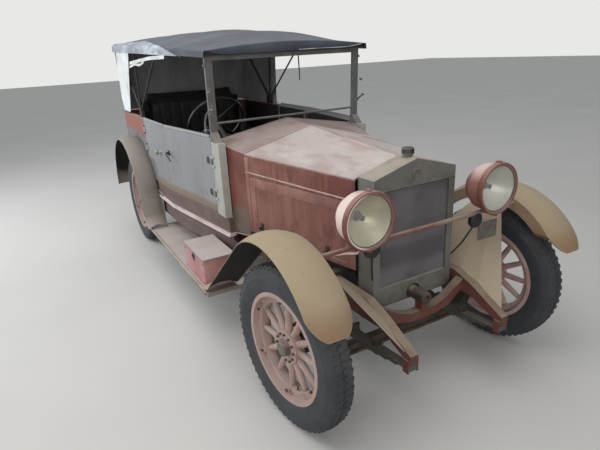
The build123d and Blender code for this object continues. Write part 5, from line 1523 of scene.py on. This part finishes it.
def settle(piece: Piece) -> None:
    """Turns a piece's modifiers into its plain mesh."""
    result = plain_mesh(piece)
    old = piece.data
    piece.modifiers.clear()
    piece.data = result
    result.name = piece.name
    bpy.data.meshes.remove(old)


@dataclass(frozen=True)
class Screen(Assembly):
    """The windscreen's clamp levers and thumb nuts."""

    x: float = 0.560
    # Lines and nuts are (place, height)
    lever: tuple[Pair, ...] = (
        (1.080, 1.349), (1.120, 1.338), (1.160, 1.314), (1.186, 1.280), (1.196, 1.246),
        (1.193, 1.219))
    sizes: tuple[float, ...] = (0.0042, 0.005, 0.006, 0.006, 0.0065, 0.008)
    nut_x: float = 0.546
    nuts: tuple[Pair, ...] = ((1.104, 1.450), (1.087, 1.350), (1.132, 1.600))

    def build(self) -> None:
        """Makes the levers and the nuts on both posts."""
        forge = Forge()
        for side, _ in SIDES:
            spots = [self.at(side * self.x, place, z) for place, z in self.lever]
            forge.tube(spots, self.sizes, flat=0.6)
            forge.turned([(-0.020, 0.0), (-0.020, 0.010), (0.004, 0.011), (0.008, 0.008),
                          (0.009, 0.0)], self.outward(side, self.x, *self.lever[-1]), 20)
            for place, z in self.nuts:
                forge.turned([(-0.004, 0.0), (-0.004, 0.009), (0.006, 0.0085), (0.010, 0.0055),
                              (0.011, 0.0)], self.outward(side, self.nut_x, place, z), 16)
        forge.made("screen_levers", SCREEN, "screen_metal")


@dataclass(frozen=True)
class Radiator(Assembly):
    """The radiator's header seam, blank badge place, cap, core fins and crank ring."""

    front: float = -0.070
    half: float = 0.2475
    seam_z: float = 1.045
    badge_z: float = 1.095
    cap: Pair = (-0.005, 1.180)
    core: Pair = (0.205, 0.775)
    crank_z: float = 0.496
    fins: int = 76

    def build(self) -> None:
        """Makes the radiator's trim."""
        at, slot = self.at, "dull_nickel"
        Forge().block(at(-self.half, self.front - 0.0008, self.seam_z - 0.003),
                      at(self.half, self.front + 0.006, self.seam_z)
                      ).made("header_seam", BLACK_IRON, slot)
        trim = Forge().turned([(0.0, 0.0285), (0.0035, 0.0278), (0.0035, 0.0245), (0.0013, 0.0238),
                               (0.0018, 0.012), (0.0020, 0.0)],
                              facing(at(0, self.front, self.badge_z), AHEAD), 36)
        cap = facing(at(0, *self.cap), UP, BACK)
        trim.turned([(0.001, 0.0292), (0.006, 0.0298), (0.006, 0.0276)], cap)
        trim.made("badge_place", DULL_STEEL, slot)
        ribs = ring(Part.BLOCK, 26, 0.0275, (0.0035, 0.0034, 0.019), BLACK_IRON)
        Forge().mesh(ribs, cap @ along_z(0.0165)).turned(
            [(0.027, 0.0272), (0.0315, 0.0245), (0.0335, 0.014), (0.034, 0.0)], cap
        ).made("cap_grip", BLACK_IRON, slot)
        half, z = self.core
        first, last = (at(x, self.front + 0.0145, z) for x in (-half, half))
        Forge().mesh(row(Part.BLOCK, self.fins, first, last, (0.0011, 0.003, 0.530), CORE)
                     ).made("core_fins", CORE, "radiator_honeycomb")
        crank = Forge()
        for place, profile in ((-0.1665, ((0.0, 0.0132), (0.004, 0.0140), (0.004, 0.026),
                                          (0.0, 0.0305))),
                               (-0.088, ((0.077, 0.0330), (0.002, 0.0330), (0.002, 0.0290)))):
            crank.turned(profile, facing(at(0, place, self.crank_z), AHEAD))
        crank.made("crank_ring", IRON, "chassis_paint")


@dataclass(frozen=True)
class Lamps(Assembly):
    """The headlamps' rims, seats, reflectors, bulbs, stays and brackets, and a small plate."""

    x: float = 0.381
    front: float = -0.225
    z: float = 0.990
    # From the lamp's middle: out, behind and above
    stay: tuple[Point, ...] = ((0.006, 0.050, -0.118), (0.030, 0.058, -0.150),
                               (0.075, 0.072, -0.142), (0.150, 0.085, -0.137))
    bracket: tuple[Point, ...] = ((0.316, -0.146, 0.800), (0.285, -0.105, 0.700),
                                  (0.246, -0.060, 0.622))

    def build(self) -> None:
        """Makes the trim of both lamps."""
        for side, title in SIDES:
            self.bowl(side, title, facing(self.at(side * self.x, self.front, self.z), AHEAD))
            self.supports(side, title)
        Forge().block(self.at(0.338, -0.158, 0.712), self.at(0.470, -0.152, 0.806), soften=0.002
                      ).made("lamp_plate", DULL_STEEL, "lamp_paint")

    def bowl(self, side: int, title: str, frame: Matrix) -> None:
        """One lamp's rim and what is behind its glass."""
        rim = Forge().turned([(-0.026, 0.1255), (-0.020, 0.1285), (-0.006, 0.1290), (0.002, 0.1265),
                              (0.004, 0.1225), (0.002, 0.1195), (-0.004, 0.1185)], frame, 64)
        rim.block((-0.012, 0.120, -0.030), (0.012, 0.134, -0.004), frame, 0.003)
        rim.block((-0.008, -0.137, -0.028), (0.008, -0.122, -0.002), frame, 0.003)
        rim.made(f"lamp_rim_{title}", LAMP_RIM, "lamp_paint")
        dish = [(-0.0085 - 0.092 * (1 - (radius / 0.110) ** 2), radius)
                for radius in (0.110, 0.095, 0.076, 0.055, 0.034, 0.016, 0.0)]
        Forge().turned(dish, frame, 56).made(
            f"reflector_{title}", SILVERED if side > 0 else REFLECTOR, "dull_nickel",
            closed=False, crease=80)
        Forge().turned([(-0.0100, 0.1135), (-0.0060, 0.1135), (-0.0060, 0.1085), (-0.0100, 0.1080)],
                       frame, 56).made(f"lamp_seat_{title}", BLACK_IRON, "lamp_paint")
        Forge().turned([(-0.099, 0.026), (-0.096, 0.022), (-0.082, 0.014), (-0.076, 0.009),
                        (-0.070, 0.010), (-0.058, 0.012), (-0.050, 0.0)], frame, 24
                       ).made(f"bulb_{title}", BLACK_IRON, "lamp_glass")

    def supports(self, side: int, title: str) -> None:
        """One lamp's stay and bracket."""
        stay = [self.at(side * (self.x + out), self.front + behind, self.z + above)
                for out, behind, above in self.stay]
        Forge().tube(stay, 0.0065).made(f"lamp_stay_{title}", LAMP_PAINT, "lamp_paint")
        cup = Forge().turned([(-0.016, 0.0), (-0.016, 0.034), (-0.010, 0.040), (0.008, 0.040),
                              (0.014, 0.030), (0.014, 0.0)],
                             facing(self.at(side * 0.318, -0.150, 0.828), AHEAD))
        cup.tube([self.at(side * x, place, z) for x, place, z in self.bracket], 0.0048, 8)
        cup.made(f"lamp_bracket_{title}", BLACK_IRON, "lamp_paint")


@dataclass(frozen=True)
class Bonnet(Assembly):
    """The bonnet's ridge strips, bead lines, panel frames, rear strips and catches."""

    front: float = 0.056
    rear: float = 0.882
    # Half width and heights at the front and at the rear
    halves: Pair = (0.262, 0.452)
    shoulders: Pair = (1.092, 1.107)
    ridge: Pair = (1.166, 1.222)
    # Strips round a recessed panel: start, end, low and high
    frame: tuple[tuple[float, float, float, float], ...] = (
        (0.060, 0.846, 0.918, 0.974), (0.060, 0.112, 0.636, 0.920),
        (0.802, 0.846, 0.636, 0.920), (0.110, 0.804, 0.636, 0.660))
    catches: Pair = (0.240, 0.766)

    def along(self, ends: Pair, place: float) -> float:
        """A measure at a place, from its values at the front and the rear."""
        return between(*ends, (place - self.front) / (self.rear - self.front))

    def build(self) -> None:
        """Makes the trim of both sides."""
        for side, title in SIDES:
            self.side(side, title)
            self.ridge_strip(side, title)

    def ridge_strip(self, side: int, title: str) -> None:
        """The rubbed pale edge of one top along the ridge."""
        rows = []
        for out, lift in ((0.0045, -0.0004), (0.0050, 0.0006), (0.0110, 0.0006), (0.0125, -0.0004)):
            line = []
            for index in range(12):
                place = between(self.front + 0.006, self.rear - 0.006, index / 11)
                ridge = self.along(self.ridge, place)
                slope = (ridge - self.along(self.shoulders, place)) / self.along(self.halves, place)
                line.append(self.at(side * out, place, ridge - slope * out + lift))
            rows.append(line)
        Forge().grid(rows[::-side]).made(f"bonnet_ridge_{title}", PALE_DUST, "dusty_red_paint",
                                         f"bonnet_{title}", closed=False)

    def on(self, side: int, place: float, z: float, out: float) -> Vector:
        """A point a little out from one side."""
        return self.at(side * (self.along(self.halves, place) + out), place, z)

    def plate(self, forge: Forge, side: int, area: Sequence[float], thick: float) -> None:
        """A thin plate on one side, with a slope all round its edge.

        Args:
            forge: What it is added to.
            side: 1 at the left, -1 at the right.
            area: Its start, end, low and high edge.
            thick: Its thickness.
        """
        start, end, low, high = area
        rings = []
        for inset, out in ((0.0, -0.0005), (0.0, thick * 0.4), (0.004, thick)):
            corners = ((start + inset, low + inset), (end - inset, low + inset),
                       (end - inset, high - inset), (start + inset, high - inset))
            rings.append([forge.bm.verts.new(self.on(side, place, z, out))
                          for place, z in corners])
        forge.walls(rings, 4)
        forge.bm.faces.new(rings[-1])

    def side(self, side: int, title: str) -> None:
        """One side's bead, panel frame, rear strip and catches."""
        slot, body = "dusty_red_paint", f"bonnet_{title}"
        ends = [self.on(side, self.front + 0.008, 0.984, 0.001),
                self.on(side, self.rear - 0.004, 1.002, 0.001)]
        Forge().tube(ends, 0.0055, 8).made(f"bonnet_bead_{title}", PINK_METAL, slot, body)
        frame = Forge()
        for area in self.frame:
            self.plate(frame, side, area, 0.0032)
        frame.made(f"bonnet_panel_{title}", FRAME_RED, slot, body)
        strip = Forge()
        self.plate(strip, side, (0.8475, 0.8810, 0.636, 1.088), 0.0046)
        strip.made(f"bonnet_strip_{title}", FRAME_RED, slot, body)
        catch = Forge()
        for place in self.catches:
            spot = facing(self.on(side, place, 0.683, 0.0), (side, 0, 0))
            catch.block((-0.014, -0.028, 0.0), (0.014, 0.028, 0.004), spot, 0.001)
            catch.turned([(0.004, 0.008), (0.012, 0.0075), (0.018, 0.010), (0.022, 0.008),
                          (0.023, 0.0)], spot, 16)
            catch.tube([spot @ Vector(point) for point in (
                (0, -0.002, 0.014), (0.004, -0.030, 0.020), (0.004, -0.046, 0.015))], 0.0042, 8)
        catch.made(f"bonnet_catches_{title}", BLACK_IRON, slot, body)


@dataclass(frozen=True)
class Doors(Assembly):
    """The doors' rolled tops, linings and handles, and the front hinges' straps."""

    top: float = 1.180
    foot: float = 0.696
    post: float = 1.182
    seam: float = 1.922
    hinge_line: float = 2.508
    wall: float = 0.042
    arch: Pair = (2.285, 0.866)
    # The half width at the three posts
    halves: Point = (0.545, 0.645, 0.655)
    knob: Pair = (2.092, 0.966)
    lever: Pair = (1.874, 0.991)

    def half(self, place: float) -> float:
        """The body's half width at a place along the doors."""
        first, second, third = self.halves
        if place <= self.seam:
            return between(first, second, (place - self.post) / (self.seam - self.post))
        return between(second, third, (place - self.seam) / (self.hinge_line - self.seam))

    def build(self) -> None:
        """Makes the trim of the four doors and the rear quarters."""
        for side, title in SIDES:
            self.door(side, f"front_door_{title}", self.post + 0.008, self.seam - 0.006)
            self.door(side, f"rear_door_{title}", self.seam + 0.006, self.hinge_line - 0.008)
            self.handles(side, title)
            self.straps(side, title)
            self.quarter_lining(side, title)

    def door(self, side: int, body: str, start: float, end: float) -> None:
        """One door's rolled capping and its lining."""
        slot = "bare_aluminium"
        places = [between(start, end, index / 12) for index in range(13)]
        spots = [self.at(side * (self.half(place) - 0.010), place, self.top + 0.0005)
                 for place in places]
        Forge().tube(spots, 0.0135, 12).made(f"capping_{body}", ALUMINIUM, slot, body)
        lining = Forge()
        low, high = self.foot + 0.012, self.top - 0.014
        parts = [(start, end, low, high)]
        if body.startswith("rear"):
            cut, rise = self.arch[0] - 0.004, self.arch[1] + 0.010
            parts = [(start, cut, low, rise), (start, end, rise, high)]
        for first, last, bottom, top in parts:
            places = [between(first + 0.012, last - 0.012, index / 8) for index in range(9)]
            levels = [between(bottom, top, step / 3) for step in range(4)]
            lining.grid([[self.at(side * (self.half(place) - self.wall - 0.0040), place, z)
                          for place in places] for z in levels][::-side])
        lining.made(f"lining_{body}", LINING, slot, body, closed=False)

    def quarter_lining(self, side: int, title: str) -> None:
        """The dark lining inside one rear quarter."""
        x = side * (self.halves[2] - self.wall - 0.0025)
        rows = [[self.at(x, 2.520 + 0.098 * index, z) for index in range(9)]
                for z in (0.90, 1.00, 1.09, self.top - 0.006)]
        Forge().grid(rows[::-side]).made(f"quarter_panel_{title}", LINING, "rear_primer",
                                         closed=False)

    def handles(self, side: int, title: str) -> None:
        """The rear door's knob and the front door's lever."""
        slot = "bare_aluminium"
        place, z = self.knob
        Forge().turned([(0.0, 0.024), (0.004, 0.023), (0.006, 0.012), (0.020, 0.010),
                        (0.026, 0.019), (0.036, 0.021), (0.043, 0.015), (0.045, 0.0)],
                       self.outward(side, self.half(place), place, z), 28
                       ).made(f"door_knob_{title}", STEEL, slot, f"rear_door_{title}")
        place, z = self.lever
        lever = Forge().turned([(0.0, 0.022), (0.004, 0.021), (0.006, 0.009), (0.024, 0.009),
                                (0.026, 0.0)], self.outward(side, self.half(place), place, z), 24)
        root = self.at(side * (self.half(place) + 0.022), place, z)
        lever.tube([root, root + Vector((side * 0.006, -0.035, -0.010)),
                    root + Vector((side * 0.004, -0.112, -0.038))], (0.008, 0.007, 0.0055))
        lever.made(f"door_lever_{title}", BLACK_IRON, slot, f"front_door_{title}")

    def straps(self, side: int, title: str) -> None:
        """The straps of the front door's hinges, with their rivets."""
        straps = Forge()
        out = self.half(1.230) + 0.0005
        for z in (0.820, 1.030):
            straps.block(self.at(side * out - 0.004, 1.192, z - 0.022),
                         self.at(side * out + 0.004, 1.262, z + 0.022), soften=0.002)
            for place in (1.212, 1.243):
                straps.turned(RIVET, self.outward(side, out + 0.004, place, z), 12)
        straps.made(f"hinge_straps_{title}", BLACK_IRON, "bare_aluminium", f"front_door_{title}")


@dataclass(frozen=True)
class Boards(Assembly):
    """The running boards' nosing, the rear fenders' webs, and the toolbox's catch and rivets.

    Attributes:
        nosing: The nosing's line: how far out, its start, its end and its height.
        box: How far out the toolbox's side is.
    """

    nosing: tuple[float, float, float, float] = (0.782, 0.850, 2.245, 0.315)
    box: float = 0.764

    def build(self) -> None:
        """Makes the boards' trim."""
        out, start, end, z = self.nosing
        for side, title in SIDES:
            Forge().tube([self.at(side * out, place, z) for place in (start, end)], 0.0125, 12
                         ).made(f"board_nosing_{title}", STEEL_EDGE, "board_dust")
            Forge().block(self.at(side * 0.6535, 2.232, 0.326), self.at(side * 0.6500, 2.470, 0.604)
                          ).made(f"fender_web_{title}", REAR_FENDER, "fender_undercoat")
        spot = self.outward(-1, self.box, 1.106, 0.470)
        catch = Forge().block((-0.018, -0.030, 0.0), (0.018, 0.024, 0.004), spot, 0.001)
        catch.turned([(0.004, 0.009), (0.010, 0.008), (0.012, 0.0)], spot, 16)
        for place in (0.935, 1.277):
            for z in (0.345, 0.470):
                catch.turned(RIVET, self.outward(-1, self.box, place, z), 12)
        catch.made("toolbox_catch", BLACK_IRON, "dusty_red_paint")


@dataclass(frozen=True)
class Cabin(Assembly):
    """What the driver's place holds: dials, levers, pedals and the wheel's hub."""

    dash: Pair = (1.1665, 1.070)
    # Dials are (x, radius) and pedals (x, width)
    dials: tuple[Pair, ...] = ((-0.16, 0.045), (0.0, 0.055), (0.15, 0.036), (0.24, 0.026))
    pedals: tuple[Pair, ...] = ((-0.385, 0.055), (-0.235, 0.055), (-0.150, 0.030))
    hub: Point = (-0.330, 1.640, 1.212)
    foot: Point = (-0.300, 0.800, 0.640)

    def build(self) -> None:
        """Makes the fittings of the cabin."""
        self.make_dials()
        self.make_levers()
        self.make_pedals()
        self.make_hub()

    def make_dials(self) -> None:
        """The dials' rims and dark faces, with a hand each."""
        rims, faces = Forge(), Forge()
        for x, radius in self.dials:
            frame = facing(self.at(x, *self.dash), BACK)
            rims.turned([(0.0, radius + 0.006), (0.008, radius + 0.004), (0.009, radius),
                         (0.004, radius - 0.003)], frame, 36)
            faces.turned([(0.003, radius - 0.002), (0.003, 0.0)], frame, 36)
            faces.block((-0.0012, 0.0, 0.0032), (0.0012, radius * 0.7, 0.0042), frame)
        rims.made("dial_rims", STEEL, "dull_nickel")
        faces.made("dial_faces", BLACK_IRON, "dull_nickel", closed=False)

    def make_levers(self) -> None:
        """The gear lever with its knob and boot, and the brake lever."""
        at = self.at
        levers = Forge().tube([at(-0.02, 1.300, 0.598), at(-0.03, 1.330, 0.74),
                               at(-0.05, 1.400, 0.90)], (0.011, 0.008, 0.007), 12)
        levers.turned([(-0.018, 0.0), (-0.014, 0.013), (0.0, 0.018), (0.014, 0.013),
                       (0.018, 0.0)], facing(at(-0.052, 1.404, 0.912), (0, 0.3, 1)), 20)
        levers.tube([at(0.06, 1.240, 0.598), at(0.065, 1.330, 0.78), at(0.065, 1.430, 0.93)],
                    (0.010, 0.008, 0.009), 12, flat=0.5)
        levers.turned([(0.0, 0.055), (0.010, 0.050), (0.012, 0.012)],
                      facing(at(-0.02, 1.300, 0.598), UP, BACK), 28)
        levers.made("hand_levers", BLACK_IRON, "engine_iron")

    def make_pedals(self) -> None:
        """The pedals with their rods."""
        pedals = Forge()
        for x, wide in self.pedals:
            pedals.block((-wide / 2, -0.042, 0.0), (wide / 2, 0.042, 0.008),
                         facing(self.at(x, 1.010, 0.710), (0, 0.85, 0.5)), 0.003)
            pedals.tube([self.at(x, place, z) for place, z in (
                (1.008, 0.706), (0.985, 0.640), (0.960, 0.598))], (0.008, 0.008, 0.010))
        pedals.made("pedals", IRON, "engine_iron")

    def make_hub(self) -> None:
        """The steering wheel's hub with its two small levers."""
        middle = self.at(*self.hub)
        crown = facing(middle, middle - self.at(*self.foot))
        hub = Forge().turned([(0.004, 0.040), (0.012, 0.036), (0.016, 0.024), (0.026, 0.022),
                              (0.030, 0.016), (0.031, 0.0)], crown, 28)
        for root, tip in ((0.022, (0.07, 0.02, 0.030)), (0.020, (-0.06, 0.03, 0.028))):
            hub.tube([crown @ Vector((0, 0, root)), crown @ Vector(tip)], 0.0032, 8)
        hub.made("wheel_centre", STEEL, "wheel_ebonite", "steering_wheel")


@dataclass(frozen=True)
class Tail(Assembly):
    """The rear's fittings: the tank's straps and filler, and the spare wheel's nut."""

    # The tank's front, rear, low and high side
    tank: tuple[float, float, float, float] = (3.140, 3.345, 0.455, 0.615)

    def build(self) -> None:
        """Makes the rear fittings."""
        at = self.at
        front, rear, low, high = self.tank
        straps = Forge()
        for x in (-0.20, 0.20):
            straps.block(at(x - 0.016, front - 0.003, low - 0.003),
                         at(x + 0.016, rear + 0.003, high + 0.003), soften=0.004)
        straps.turned([(0.0, 0.034), (0.012, 0.034), (0.016, 0.028), (0.022, 0.028), (0.024, 0.0)],
                      facing(at(-0.30, (front + rear) / 2, high), UP, BACK), 24)
        straps.made("tank_straps", BLACK_IRON, "chassis_paint")
        frame = facing(at(*self.layout.spare), BACK)
        spare = Forge()
        for first, last, radius, steps in (((0, 0, 0.045), (0, 0, 0.062), 0.014, 12),
                                           ((-0.045, 0, 0.058), (0.045, 0, 0.058), 0.006, 10)):
            spare.tube([frame @ Vector(first), frame @ Vector(last)], radius, steps)
        spare.made("spare_nut", BLACK_IRON, "wheel_paint")


@dataclass(frozen=True)
class Undercarriage(Assembly):
    """The clips and the axle bolts' plates round the springs.

    Attributes:
        wide: The springs' width.
        clips: Each clip's place from the spring's middle, with its middle's height over the
            spring's lowest point and half of its own height.
    """

    wide: float = 0.052
    clips: tuple[Point, ...] = ((-0.24, 0.060, 0.014), (-0.05, 0.038, 0.030),
                                (0.05, 0.038, 0.030), (0.24, 0.060, 0.014))

    def build(self) -> None:
        """Makes the fittings under the car."""
        forge = Forge()
        half = self.wide / 2
        for node in ("front_springs", "rear_springs"):
            low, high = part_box(node)
            middle = (low[1] + high[1]) / 2
            for side, _ in SIDES:
                x = side * (high[0] - half)
                for shift, rise, reach in self.clips:
                    y, z = middle + shift, low[2] + rise
                    forge.block((x - half - 0.002, y - 0.007, z - reach),
                                (x + half + 0.002, y + 0.007, z + reach), soften=0.002)
        forge.made("spring_clips", IRON, "spring_steel")


@dataclass(frozen=True)
class Stick(Assembly):
    """The thin stick that hangs from the hood at the far side."""

    def build(self) -> None:
        """Makes the stick."""
        at = self.at
        spots = [at(0.600, 2.060, 1.688), at(0.601, 2.056, 1.560), at(0.600, 2.050, 1.416)]
        Forge().tube(spots, (0.005, 0.0055, 0.0045), 8
                     ).made("hood_stick", BLACK_IRON, "underside_iron")


# The picture


@dataclass(frozen=True)
class Photo(Assembly):
    """The photo's camera, in the car's frame, with plain light on a pale floor."""

    place: Point = (-1.512, -1.704, 1.661)
    yaw: float = math.radians(28.507)
    pitch: float = math.radians(-19.932)
    roll: float = math.radians(-3.046)
    lens: float = 29.004
    sensor: float = 36.0
    reach: float = 40.0

    def build(self) -> None:
        """Makes the camera, the lamps, the world and the floor."""
        self.camera()
        self.world()
        self.lamps()
        self.floor()
        bpy.context.scene.view_settings.view_transform = "Standard"

    def camera(self) -> None:
        """Places the camera at the photo's angle."""
        data = bpy.data.cameras.new("photo_camera")
        data.lens = self.lens
        data.sensor_width = self.sensor
        data.sensor_fit = "HORIZONTAL"
        data.clip_start, data.clip_end = 0.05, 200.0
        forward = Vector((math.sin(self.yaw) * math.cos(self.pitch),
                          math.cos(self.yaw) * math.cos(self.pitch), math.sin(self.pitch)))
        right = Vector((math.cos(self.yaw), -math.sin(self.yaw), 0.0))
        up = right.cross(forward)
        cosine, sine = math.cos(self.roll), math.sin(self.roll)
        across, rise = cosine * right + sine * up, -sine * right + cosine * up
        turn = Matrix((across, rise, -forward)).transposed().to_4x4()
        eye = shown("photo_camera", data, Matrix.Translation(self.at(*self.place)) @ turn)
        bpy.context.scene.camera = eye

    def world(self) -> None:
        """A plain sky, paler where the camera sees it."""
        world = bpy.data.worlds.new("plain_sky")
        bpy.context.scene.world = world
        world.use_nodes = True
        tree = world.node_tree
        tree.nodes.clear()
        seen = put(tree, "ShaderNodeLightPath").outputs
        share = maths(tree, "MAXIMUM", seen["Is Camera Ray"], seen["Is Transmission Ray"])
        sky = put(tree, "ShaderNodeBackground", {"Color": (0.92, 0.96, 1.0, 1.0), "Strength": 0.5})
        back = put(tree, "ShaderNodeBackground", {"Color": shade(232, 232, 230), "Strength": 1.0})
        mixed = put(tree, "ShaderNodeMixShader", {0: share, 1: sky.outputs[0],
                                                  2: back.outputs[0]})
        put(tree, "ShaderNodeOutputWorld", {"Surface": mixed.outputs[0]})

    def lamps(self) -> None:
        """Soft lamps: one over the front, one high at the right rear, one low at the front."""
        for name, spot, target, power, size, colour in (
                ("lamp_top", (-1.5, 0.5, 5.0), (0.0, 1.2, 0.8), 118.0, 4.0, (1.0, 0.97, 0.93)),
                ("lamp_rear", (-4.5, 4.5, 2.6), (0.0, 2.2, 1.0), 150.0, 3.0, (0.92, 0.96, 1.0)),
                ("lamp_front", (-2.5, -4.5, 2.0), (0.0, 0.0, 0.8), 64.0, 3.0, (1.0, 0.96, 0.92))):
            data = bpy.data.lights.new(name, "AREA")
            data.energy, data.size, data.color = power, size, colour
            start = self.at(*spot)
            turn = (self.at(*target) - start).to_track_quat("-Z", "Y").to_matrix().to_4x4()
            shown(name, data, Matrix.Translation(start) @ turn)

    def floor(self) -> None:
        """A wide pale floor under the wheels."""
        ends = (-self.reach, self.reach)
        forge = Forge().grid([[Vector((x, y, 0)) for x in ends] for y in ends])
        data = bpy.data.meshes.new("floor")
        forge.bm.to_mesh(data)
        forge.bm.free()
        data.materials.append(FLOOR.material())
        shown("floor", data)


CAD_FINISHES: dict[Coat, str] = {
    ALUMINIUM: "front_door_left front_door_right rear_door_left rear_door_right",
    BLACK_IRON: "hood_irons steering_column",
    BOARD_TOP: "running_boards toolbox_lid",
    BONNET_TOP: "bonnet_top_left bonnet_top_right",
    CHASSIS: "frame_rails front_crossmember crossmembers rear_crossmember fuel_tank",
    CORE: "radiator_core",
    EBONITE: "steering_wheel",
    FENDER: "front_fenders",
    IRON: "front_axle_beam rear_axle engine_and_gearbox track_rod knuckle_left knuckle_right",
    LAMP_BAR: "lamp_bar",
    LAMP_GLASS: "headlamp_glasses",
    LAMP_PAINT: "headlamps",
    NICKEL: "radiator_shell",
    PAINT_RED: "bonnet_side_left bonnet_side_right",
    PILLAR: "front_pillars",
    REAR_FENDER: "rear_fenders",
    REAR_PRIMER: "rear_body",
    SCREEN: "windscreen_frame",
    SCUTTLE: "scuttle",
    SILL: "body_tub",
    SPRING: "front_springs rear_springs",
    TOOLBOX: "toolbox",
    WHEEL_PAINT: ("front_wheel_left front_wheel_right rear_wheel_left rear_wheel_right "
                  "spare_wheel"),
    WOOD: "hood_bows",
}


def dress(nodes: dict[str, Piece]) -> None:
    """Gives each shown CAD node its finish."""
    for finish, names in CAD_FINISHES.items():
        for name in names.split():
            data = nodes[name].data
            data.materials.clear()
            data.materials.append(finish.material())
            LOG.info("%s is dressed in %s", name, finish.name)


def main() -> None:
    """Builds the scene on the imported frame."""
    logging.basicConfig(level=logging.INFO, format="%(name)s: %(message)s")
    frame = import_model()
    make_effects()
    layout = Layout.read()
    LOG.info("layout %s", layout)
    dress(frame["nodes"])
    for assembly in (Seats, Wheels, Hood, Screen, Radiator, Lamps, Bonnet, Doors, Boards, Cabin,
                     Tail, Undercarriage, Stick, Photo):
        assembly(layout).build()


if __name__ == "__main__":
    main()
